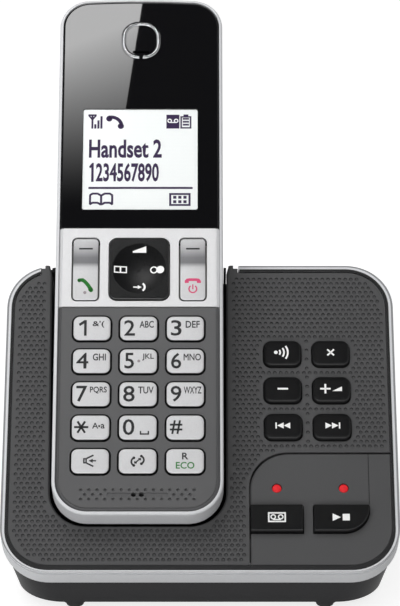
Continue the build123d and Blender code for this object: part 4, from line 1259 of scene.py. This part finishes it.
    def earpiece(self) -> None:
        """Chrome ring round the earpiece, rounded in section and open at its foot."""
        centre, size, top = self.place("earpiece_ring")
        bench = Bench(self.slope)
        face = bench.plate(size.x, size.y, self.ring_radius, centre, top - size.z)
        hole = bench.rise(face, [(self.ring_band, 0)])
        bmesh.ops.delete(bench.mesh, geom=[hole], context="FACES")
        bench.thicken(size.z)
        upper = [
            edge
            for edge in bench.mesh.edges
            if all(vert.co.z > top - self.slack for vert in edge.verts)
            and edge.calc_face_angle(0) > self.ring_sharp
        ]
        bench.bevel(upper, self.ring_edge, "EDGES", self.ring_steps)
        bench.notch(centre, self.ring_mouth / 2, -1)
        bench.close()
        chrome = Slot.EARPIECE_CHROME
        finishes = [self.shop.looks[chrome]]
        bench.piece("earpiece_trim", "handset", chrome, finishes, "earpiece_ring", self.ring_crease)

    def display(self) -> None:
        """What the display shows: status icons, a name line, a number line and two soft-key icons."""
        centre, size, top = self.place("lcd_glass")
        margin = self.display_margin
        corner = (centre[0] - size.x / 2 - margin, centre[1] + size.y / 2 + margin)
        aerial, tape, note, book, menu, foot_row = 2.72, 26.27, 30.07, 5.57, 28.37, -28.97
        marks = Print(self.slope, corner, top)
        marks.bar(aerial, -4.08, 0.57, 4.35)
        marks.bar(aerial, -1.9, 2.4, 0.5)
        for side in (-1, 1):
            marks.line((aerial + side * 1.1, -1.95), (aerial, -3.35), 0.5)
        for x, height in ((3.58, 1.4), (4.49, 2.66), (5.37, 4.0)):
            marks.bar(x, -6.25 + height / 2, 0.62, height)
        marks.arc(8.16, -5.7, 3.19, 1.05, 9, 93)
        marks.disc(7.65, -3.05, 0.92)
        marks.disc(11.05, -5.45, 0.92)
        marks.bar(tape, -4.0, 3.8, 4.47)
        marks.box(note, -4.24, 3.22, 4.0, 0.45)
        marks.bar(note, -1.97, 1.43, 0.55)
        for y in (-3.1, -4.05, -5.0):
            marks.bar(note, y, 1.8, 0.55)
        marks.word("Handset 2", 12.45, -12.72, 5.96, 21.2, self.display_bold)
        marks.shape(*self.display_one)
        marks.word("234567890", 13.1, -20.33, 6.05, 18.3, self.display_bold)
        marks.bar(16.96, -25.3, 30.2, 0.63)
        for side in (-1, 1):
            marks.bar(book + side * 3.2, -29.1, 0.62, 3.0)
            for foot in (-27.65, -30.55):
                marks.line((book + side * 3.3, foot), (book + side * 2.4, foot + 0.6), 0.62)
                marks.line((book + side * 2.5, foot + 0.55), (book + side * 1.0, foot + 0.55), 0.62)
                marks.line((book + side * 1.1, foot + 0.6), (book, foot - 0.1), 0.62)
        marks.bar(book, -29.2, 0.62, 3.0)
        marks.box(menu, foot_row, 6.2, 4.07, 0.6)
        for x in (-1.48, 0.0, 1.48):
            for y in (-0.7, 0.7):
                marks.bar(menu + x, foot_row + y, 0.92, 0.9)
        marks.stamp("display_marks", "handset", Slot.DISPLAY_GLASS, self.shop.looks[Ink.DISPLAY])
        reels = Print(self.slope, corner, top + marks.film)
        for side in (-1, 1):
            reels.arc(tape + side * 0.95, -3.75, 0.52, 0.32, 0, 360)
        reels.bar(tape, -4.27, 1.9, 0.32)
        reels.stamp("display_reels", "handset", Slot.DISPLAY_GLASS, self.shop.looks[Ink.DISPLAY_PALE])


@dataclass
class Base(Assembly):
    """The base's top: perforated panel, soft keys, marks on the hard keys and lamp lenses."""

    dot_pitch: float = 1.67
    dot_radius: float = 0.5
    dot_floor: float = 0.3
    dot_depth: float = 0.3
    dot_clearance: float = 1.05
    rim_margin: float = 3.6
    rim_corner: float = 13.75
    # Dark strip of painted shade by the rim: its margins.
    groove_shade_outer: Margins = (1.3, 0.62, 1.2)
    groove_shade_inner: Margins = (1.97, 1.97, 1.97)
    # Duller band of painted shade on the rim: its margins.
    band_outer: Margins = (0.1, 0.12, 0.1)
    band_inner: Margins = (0.62, 0.18, 0.5)
    cheek_places: tuple[Point, ...] = ((24.65, 0.74), (-25.03, 1.46))
    cheek_length: float = 1.3
    cheek_depth: float = 13.0
    strip_film: float = 0.06
    strip_gap: float = 28.9
    strip_segments: int = 16
    panel_weld: float = 0.002
    upright: float = 0.99
    cell_sides: int = 6
    cell_weld: float = 0.05
    dot_rows: range = range(-62, 12)
    dot_columns: range = range(-54, 18)
    grille_limit: float = 1.2
    plug_share: float = 0.96
    plug_drop: float = 1.6
    plug_sides: int = 8
    soft_key: KeyShape = KeyShape(
        2.1, ((0.05, 0.22), (0.14, 0.2), (0.28, 0.14), (0.5, 0.08), (0.8, 0.04)), 0.7, 1.2, 1.5, 2.0
    )
    crease_place: Point = (47.55, 28.4)
    crease_size: Point = (0.22, 15.6)
    lens_sink: float = 0.15
    lens_crease: float = 50.0
    lens_steps: int = 28
    lens_weld: float = 0.001
    lens_profile: tuple[Point, ...] = ((1.3, -0.3), (1.26, -0.1), (1.1, 0.04), (0.7, 0.1), (0.0, 0.12))

    def build(self) -> None:
        """Build and dress the whole top."""
        self.perforated_panel()
        self.paint_rim_shades()
        self.cheeks()
        self.soft_keys()
        self.soft_marks()
        self.hard_marks()
        self.crease()
        self.lenses()

    def perforated_panel(self) -> None:
        """The top panel with its field of small sunk dots in place of the plain face."""
        node = self.shop.nodes["base_panel"]
        bench = Bench(self.slope)
        bench.mesh.from_mesh(node.data)
        bench.mesh.transform(self.slope.matrix.inverted())
        bmesh.ops.remove_doubles(bench.mesh, verts=bench.mesh.verts, dist=self.panel_weld)
        level = max(vert.co.z for vert in bench.mesh.verts)
        top = [
            face
            for face in bench.mesh.faces
            if face.normal.z > self.upright and abs(face.calc_center_median().z - level) < self.slack
        ]
        bmesh.ops.delete(bench.mesh, geom=top, context="FACES")
        self.countersink(bench)
        rim = [edge for edge in bench.mesh.edges if edge.is_boundary]
        known = set(bench.mesh.verts)
        holes = self.dots(rim, level)
        bench.mesh.from_mesh(holes)
        bpy.data.meshes.remove(holes)
        fresh = {vert for vert in bench.mesh.verts if vert not in known}
        border = [edge for edge in bench.mesh.edges if edge.is_boundary and edge.verts[0] in fresh]
        bmesh.ops.triangle_fill(
            bench.mesh, use_beauty=True, use_dissolve=False, edges=rim + border, normal=(0, 0, 1)
        )
        bmesh.ops.recalc_face_normals(bench.mesh, faces=bench.mesh.faces)
        finishes = [self.shop.looks[Slot.PANEL_GREY], self.shop.looks[Detail.DIMPLE]]
        bench.piece("perforated_panel", "base", Slot.PANEL_GREY, finishes, "base_panel")

    def countersink(self, bench: Bench) -> None:
        """Sink each hole of the loudspeaker grille in a dot like those round it, over a plug of cloth.

        Args:
            bench: The panel, with its top face taken off.
        """
        mesh = bench.mesh
        waiting = {edge for edge in mesh.edges if edge.is_boundary}
        while waiting:
            ring = [waiting.pop()]
            for edge in ring:
                nearby = {other for vert in edge.verts for other in vert.link_edges} & waiting
                waiting -= nearby
                ring.extend(nearby)
            if sum(edge.calc_length() for edge in ring) > math.tau * self.dot_radius * self.grille_limit:
                continue
            inner = list({vert for edge in ring for vert in edge.verts})
            centre = sum((vert.co for vert in inner), Vector()) / len(inner)
            grown = bmesh.ops.extrude_edge_only(mesh, edges=ring)["geom"]
            outer = [item for item in grown if isinstance(item, Vert)]
            spread = self.dot_radius / (inner[0].co - centre).length
            about = Matrix.Translation(-centre)
            bmesh.ops.scale(mesh, verts=outer, vec=(spread, spread, 1), space=about)
            bmesh.ops.translate(mesh, verts=inner, vec=(0, 0, -self.dot_depth))
            middle = centre - Vector((0, 0, self.plug_drop * self.dot_depth))
            bench.post(middle, self.dot_floor * self.plug_share, self.dot_depth, self.plug_sides)
            # The slopes round each grille hole take the darker plastic: painted shade.
            for face in grown:
                if isinstance(face, Face):
                    face.material_index = 1

    def cheeks(self) -> None:
        """Two dark fins that close the back of the cradle beside the handset."""
        (_, middle), size, top = self.place("base_rim")
        (dock, _), _, _ = self.place("front_frame")
        for number, (offset, width) in enumerate(self.cheek_places):
            bench = Bench(self.slope)
            place = (dock + offset, middle + size.y / 2 - self.cheek_length)
            face = bench.plate(width, self.cheek_length, width / 4, place, top - self.cheek_depth)
            bench.rise(face, [(0, self.cheek_depth - self.strip_film)])
            bench.close()
            material = self.shop.looks[Slot.SHELL_BLACK]
            bench.piece(f"cradle_cheek_{number}", "base", Slot.SHELL_BLACK, [material])

    def paint_rim_shades(self) -> None:
        """Painted shade on the rim: a dark strip for the shaded groove between the panel and the silver rim,
        and a duller outer band of the rim.
        """
        dark, dull = self.shop.looks[Detail.DIMPLE], self.shop.looks[Detail.RIM_BAND]
        self.strip("rim_groove_painted_shade", Slot.PANEL_GREY, dark, self.groove_shade_outer, self.groove_shade_inner)
        self.strip("rim_band", Slot.SILVER_SHELL, dull, self.band_outer, self.band_inner)

    def strip(
        self, name: str, slot: Slot, material: Material, outer: Margins, inner: Margins
    ) -> None:
        """Lay a thin strip round the base's top, open where the handset's cradle cuts the rim.

        Args:
            name: Name of the piece.
            slot: Material slot of the record.
            material: What it is made of.
            outer: How far its outer edge lies inside the rim, at the sides, front and back.
            inner: The same for its inner edge.
        """
        centre, size, top = self.place("base_rim")
        (dock, _), _, _ = self.place("front_frame")
        bench = Bench(self.slope)
        for side, front, back in (outer, inner):
            face = bench.plate(
                size.x - 2 * side,
                size.y - front - back,
                self.rim_corner - side,
                (centre[0], centre[1] + (front - back) / 2),
                top - self.strip_film / 2,
                self.strip_segments,
            )
            bmesh.ops.delete(bench.mesh, geom=[face], context="FACES_ONLY")
        bmesh.ops.bridge_loops(bench.mesh, edges=bench.mesh.edges[:])
        bench.notch((dock, centre[1]), self.strip_gap, 1)
        bench.thicken(self.strip_film)
        bench.piece(name, "base", slot, [material])

    def dots(self, rim: list[Edge], level: float) -> bpy.types.Mesh:
        """Make the field of sunk dots that fits inside some edges.

        Args:
            rim: Edges of the face that the field lies in.
            level: Height of that face.

        Returns:
            A mesh of six-sided cells, each with a small sunk dot.
        """
        starts = np.array([edge.verts[0].co.xy for edge in rim])
        runs = np.array([edge.verts[1].co.xy for edge in rim]) - starts
        squares = np.maximum((runs**2).sum(axis=1), TINY)
        (mid_x, mid_y), _, _ = self.place("base_speaker")
        (rim_x, rim_y), rim_size, _ = self.place("base_rim")
        row_pitch = self.dot_pitch * math.sin(math.radians(60))
        field_mesh = bmesh.new()
        for row in self.dot_rows:
            for column in self.dot_columns:
                x = mid_x + (column + (row % 2) / 2) * self.dot_pitch
                y = mid_y + row * row_pitch
                offset = np.array((x, y)) - starts
                share = np.clip((offset * runs).sum(axis=1) / squares, 0, 1)
                gap = np.sqrt(((offset - runs * share[:, None]) ** 2).sum(axis=1)).min()
                ahead = (offset[:, 1] < 0) != (offset[:, 1] < runs[:, 1])
                turns = offset[:, 0] * runs[:, 1] - offset[:, 1] * runs[:, 0]
                crossed = ahead & ((turns > 0) == (runs[:, 1] > 0))
                near_x = abs(x - rim_x) - rim_size.x / 2 + self.rim_corner
                near_y = abs(y - rim_y) - rim_size.y / 2 + self.rim_corner
                reach = math.hypot(max(near_x, 0), max(near_y, 0)) + min(max(near_x, near_y), 0)
                inside = reach < self.rim_corner - self.rim_margin
                if inside and gap > self.dot_clearance and crossed.sum() % 2:
                    bmesh.ops.create_circle(
                        field_mesh,
                        cap_ends=True,
                        segments=self.cell_sides,
                        radius=self.dot_pitch / math.sqrt(3),
                        matrix=Matrix.Translation((x, y, level)),
                    )
        bmesh.ops.remove_doubles(field_mesh, verts=field_mesh.verts, dist=self.cell_weld)
        cells = field_mesh.faces[:]
        LOG.info("%d dots in the perforated panel", len(cells))
        bmesh.ops.reverse_faces(field_mesh, faces=[face for face in cells if face.normal.z < 0])
        bmesh.ops.inset_individual(
            field_mesh, faces=cells, thickness=self.dot_pitch / 2 - self.dot_radius, use_even_offset=True
        )
        known = set(field_mesh.faces)
        bmesh.ops.inset_individual(
            field_mesh,
            faces=cells,
            thickness=self.dot_radius - self.dot_floor,
            depth=-self.dot_depth,
            use_even_offset=True,
        )
        # The sunk slopes of each dot take the darker plastic: painted shade.
        for face in field_mesh.faces:
            face.material_index = int(face not in known)
        data = bpy.data.meshes.new("dots")
        field_mesh.to_mesh(data)
        field_mesh.free()
        return data

    def soft_keys(self) -> None:
        """Six pillow-topped silicone keys, each with its flange and plunger."""
        for name in ("paging", "erase", "volume_down", "volume_up", "skip_back", "skip_forward"):
            self.key_cap(f"{name}_key", self.soft_key)

    def soft_marks(self) -> None:
        """White signs on the soft keys."""
        with self.sign("paging_mark", "paging_key", Ink.WHITE) as paging:
            paging.disc(-1.85, 0, 0.55)
            for radius in (1.25, 2.35, 3.45):
                paging.arc(-1.85, 0, radius, 0.5, -36, 72)
        with self.sign("erase_mark", "erase_key", Ink.WHITE) as erase:
            for turn in (45, -45):
                erase.bar(0, 0, 2.7, 0.5, turn)
        with self.sign("volume_down_mark", "volume_down_key", Ink.WHITE) as quieter:
            quieter.bar(0, 0, 3.0, 0.55)
        with self.sign("volume_up_mark", "volume_up_key", Ink.WHITE) as louder:
            louder.bar(-1.75, 0, 3.0, 0.55)
            louder.bar(-1.75, 0, 0.55, 3.0)
            louder.shape((0.2, -0.75), (3.0, -0.75), (3.0, 0.7))
        for name, way in (("skip_back", -1), ("skip_forward", 1)):
            with self.sign(f"{name}_mark", f"{name}_key", Ink.WHITE) as skip:
                skip.bar(way * 2.05, 0, 0.42, 1.9)
                for start in (-1.95, -0.1):
                    skip.shape((way * start, 0.95), (way * start, -0.95), (way * (start + 1.85), 0))

    def hard_marks(self) -> None:
        """White signs on the two hard keys."""
        with self.sign("answer_mark", "answer_key", Ink.WHITE) as tape:
            tape.box(0, 0, 5.0, 3.0, 0.42)
            tape.bar(0, -0.72, 2.2, 0.36)
            for side in (-1, 1):
                tape.arc(side * 1.05, 0.1, 0.62, 0.36, 0, 360)
        with self.sign("play_mark", "play_key", Ink.WHITE) as play:
            play.shape((-2.6, 1.15), (-2.6, -1.15), (-0.3, 0))
            play.bar(1.2, 0, 2.0, 2.0)

    def crease(self) -> None:
        """Faint dark line up the answering panel, at the right end of its keys: the painted shade of a
        crease.
        """
        _, _, top = self.place("answer_panel")
        fold = Print(self.slope, self.crease_place, top)
        fold.bar(0, 0, *self.crease_size)
        fold.stamp("answer_crease_painted_shade", "base", Slot.PANEL_GREY, self.shop.looks[Detail.DIMPLE])

    def lenses(self) -> None:
        """Two domed red lenses on their light pipes."""
        (mid_x, mid_y), size, top = self.place("lamp_lenses")
        bench = Bench(self.slope)
        widest = self.lens_profile[0][0]
        half = (size.x - 2 * widest) / 2
        dome = [(radius, top + z - self.lens_sink) for radius, z in self.lens_profile]
        for side in (-1, 1):
            centre = Vector((mid_x + side * half, mid_y, 0))
            levels = [(widest, top - size.z), *dome]
            verts = [bench.mesh.verts.new(centre + Vector((radius, 0, z))) for radius, z in levels]
            edges = [bench.mesh.edges.new(pair) for pair in zip(verts, verts[1:])]
            bmesh.ops.spin(
                bench.mesh,
                geom=[*verts, *edges],
                cent=centre,
                axis=(0, 0, 1),
                angle=math.tau,
                steps=self.lens_steps,
                use_merge=True,
            )
        bmesh.ops.remove_doubles(bench.mesh, verts=bench.mesh.verts, dist=self.lens_weld)
        bench.close()
        finishes = [self.shop.looks[Slot.LAMP_RED]]
        bench.piece("lamp_domes", "base", Slot.LAMP_RED, finishes, "lamp_lenses", self.lens_crease)


@dataclass(frozen=True)
class Lamp:
    """A square lamp that faces the phone: its place and side in metres, its power in watts."""

    name: str
    place: Place
    side: float
    power: float
    mirrored: bool = True


@dataclass
class Studio:
    """Floor, lights, backdrop and the camera at the photograph's angle."""

    shop: Workshop
    image_height: float = 606.0
    focal_pixels: float = 2941.0
    aim_up_slope: float = 84.15
    distance: float = 854.4
    elevation: float = 25.0
    sensor: float = 36.0
    card_distance: float = 1.1
    card_cuts: int = 12
    gleam: tuple[Place, ...] = (
        (-70.0, 167.0, 7.4),
        (1.2, 167.0, 4.55),
        (-8.6, 93.0, 0.0),
        (-70.0, 93.0, 0.0),
    )
    gleam_power: float = 1.8
    gleam_limit: float = 11.2
    flag_centre: Place = (0.0, -0.3, 1.4)
    flag_half: float = 1.8
    floor_half: float = 6.0
    sky_heights: Point = (-0.1, 0.75)
    sky_levels: Point = (0.12, 0.52)
    side_levels: Point = (1.4, 0.5)
    lamp_target: Place = (0.0, 0.0, 0.07)
    lamps: tuple[Lamp, ...] = (
        Lamp("softbox", (-0.07, -0.08, 0.36), 0.25, 0.52, mirrored=False),
        Lamp("kicker", (-0.35, -0.55, 0.06), 0.15, 0.8),
        Lamp("front", (-0.05, -1.4, 0.08), 0.6, 6.5),
    )

    def build(self) -> None:
        """Set up the whole studio."""
        bpy.context.scene.view_settings.view_transform = "Standard"
        eye = self.camera()
        self.floor()
        self.world()
        for lamp in self.lamps:
            self.hang(lamp)
        self.window_gleam(eye)
        self.dark_flag()
        LOG.info("camera at %s", tuple(round(c, 3) for c in eye))

    def camera(self) -> Vector:
        """Place the camera.

        Returns:
            Where it stands.
        """
        aim = self.shop.panel.matrix @ Vector((0, self.aim_up_slope, 0))
        turn = math.radians(self.elevation)
        eye = aim + Vector((0, -math.cos(turn), math.sin(turn))) * self.distance * MM
        data = bpy.data.cameras.new("camera")
        data.sensor_width = self.sensor
        data.lens = self.focal_pixels * data.sensor_width / self.image_height
        camera = bpy.data.objects.new("camera", data)
        camera.location = eye
        camera.rotation_euler = (math.pi / 2 - turn, 0, 0)
        bpy.context.scene.collection.objects.link(camera)
        bpy.context.scene.camera = camera
        return eye

    def hang(self, lamp: Lamp) -> None:
        """Hang a lamp.

        Args:
            lamp: The lamp.
        """
        data = bpy.data.lights.new(lamp.name, "AREA")
        data.size = lamp.side
        data.energy = lamp.power
        light = bpy.data.objects.new(lamp.name, data)
        light.location = lamp.place
        aim = Vector(self.lamp_target) - Vector(lamp.place)
        light.rotation_euler = aim.to_track_quat("-Z", "Y").to_euler()
        light.visible_glossy = lamp.mirrored
        bpy.context.scene.collection.objects.link(light)

    def world(self) -> None:
        """White to look at; as a light on the phone, a brighter ceiling and a brighter left side."""
        world = bpy.data.worlds.new("studio")
        bpy.context.scene.world = world
        graph = Graph.of(world)
        direction = graph.add("ShaderNodeTexCoord").outputs["Generated"]
        parts = graph.add("ShaderNodeSeparateXYZ", {0: direction}).outputs
        sky = graph.span(parts["Z"], self.sky_levels, self.sky_heights)
        across = graph.span(parts["X"], self.side_levels, (-1.0, 1.0))
        room, white = (
            graph.add("ShaderNodeBackground", {"Color": WHITE, "Strength": strength}).outputs[0]
            for strength in (graph.maths("MULTIPLY", sky, across), 1.0)
        )
        mix = graph.add("ShaderNodeMixShader", {0: graph.backdrop_rays(), 1: room, 2: white})
        graph.add("ShaderNodeOutputWorld", {"Surface": mix.outputs[0]})

    def stand(self, name: str, mesh: bmesh.types.BMesh, material: Material) -> None:
        """Put a part of the studio in place.

        Args:
            name: Name of the part.
            mesh: Its mesh, in metres.
            material: Its material.
        """
        data = bpy.data.meshes.new(name)
        mesh.to_mesh(data)
        mesh.free()
        data.materials.append(material)
        part = bpy.data.objects.new(name, data)
        bpy.context.scene.collection.objects.link(part)

    def floor(self) -> None:
        """A wide pale floor that keeps the phone's soft shadow."""
        mesh = bmesh.new()
        bmesh.ops.create_grid(mesh, x_segments=1, y_segments=1, size=self.floor_half)
        self.stand("floor", mesh, StudioFloor("pale studio floor", 0.8).material())

    def mirrored_light(self, name: str, strength: str | float) -> Material:
        """Make the material of a card that is seen only in reflections.

        Args:
            name: Name of the material.
            strength: How brightly it glows, or the attribute that says so place by place.

        Returns:
            The material.
        """
        material = bpy.data.materials.new(name)
        graph = Graph.of(material)
        if isinstance(strength, str):
            glow = graph.add("ShaderNodeAttribute", attribute_name=strength).outputs["Fac"]
            fall = graph.maths("POWER", glow, self.gleam_power)
            strength = graph.maths("MINIMUM", fall, self.gleam_limit)
        light = graph.add("ShaderNodeEmission", {"Color": WHITE, "Strength": strength}).outputs[0]
        clear = graph.add("ShaderNodeBsdfTransparent").outputs[0]
        mirrored = graph.add("ShaderNodeLightPath").outputs["Is Glossy Ray"]
        mix = graph.add("ShaderNodeMixShader", {0: mirrored, 1: clear, 2: light})
        graph.add("ShaderNodeOutputMaterial", {"Surface": mix.outputs[0]})
        return material

    def window_gleam(self, eye: Vector) -> None:
        """A glowing card overhead that draws the gleam on the window.

        Args:
            eye: Where the camera stands.
        """
        slope = self.shop.handset
        mesh = bmesh.new()
        glow = mesh.verts.layers.float_color.new("glow")
        verts = []
        for x, y, strength in self.gleam:
            point = slope.matrix @ Vector((x, y, 0))
            sight = (point - eye).normalized()
            bounce = sight - 2 * sight.dot(slope.normal) * slope.normal
            vert = mesh.verts.new(point + bounce * self.card_distance)
            vert[glow] = (strength, strength, strength, 1.0)
            verts.append(vert)
        mesh.faces.new(verts)
        bmesh.ops.subdivide_edges(mesh, edges=mesh.edges[:], cuts=self.card_cuts, use_grid_fill=True)
        self.stand("window_card", mesh, self.mirrored_light("glowing card", "glow"))

    def dark_flag(self) -> None:
        """A black cloth high above the card, so that gloss black stays black."""
        mesh = bmesh.new()
        place = Matrix.Translation(self.flag_centre)
        bmesh.ops.create_grid(mesh, x_segments=1, y_segments=1, size=self.flag_half, matrix=place)
        self.stand("dark_flag", mesh, self.mirrored_light("black cloth", 0.0))


def main() -> None:
    """Load the frame, build each sub-assembly and set up the studio, logging what is built."""
    logging.basicConfig(level=logging.INFO, format="%(message)s")
    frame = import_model()
    axes = {joint["name"]: Vector(joint["axis"]) for joint in frame["joints"]}
    nodes = frame["nodes"]
    shop = Workshop(
        nodes,
        Slope.on(nodes["front_frame"], -axes["key_1_press"].normalized()),
        Slope.on(nodes["base_rim"], -axes["answer_key_press"].normalized()),
    )
    shop.mix_finishes()
    shop.dress_nodes()
    Handset(shop, shop.handset).build()
    Base(shop, shop.panel).build()
    Studio(shop).build()


if __name__ == "__main__":
    main()
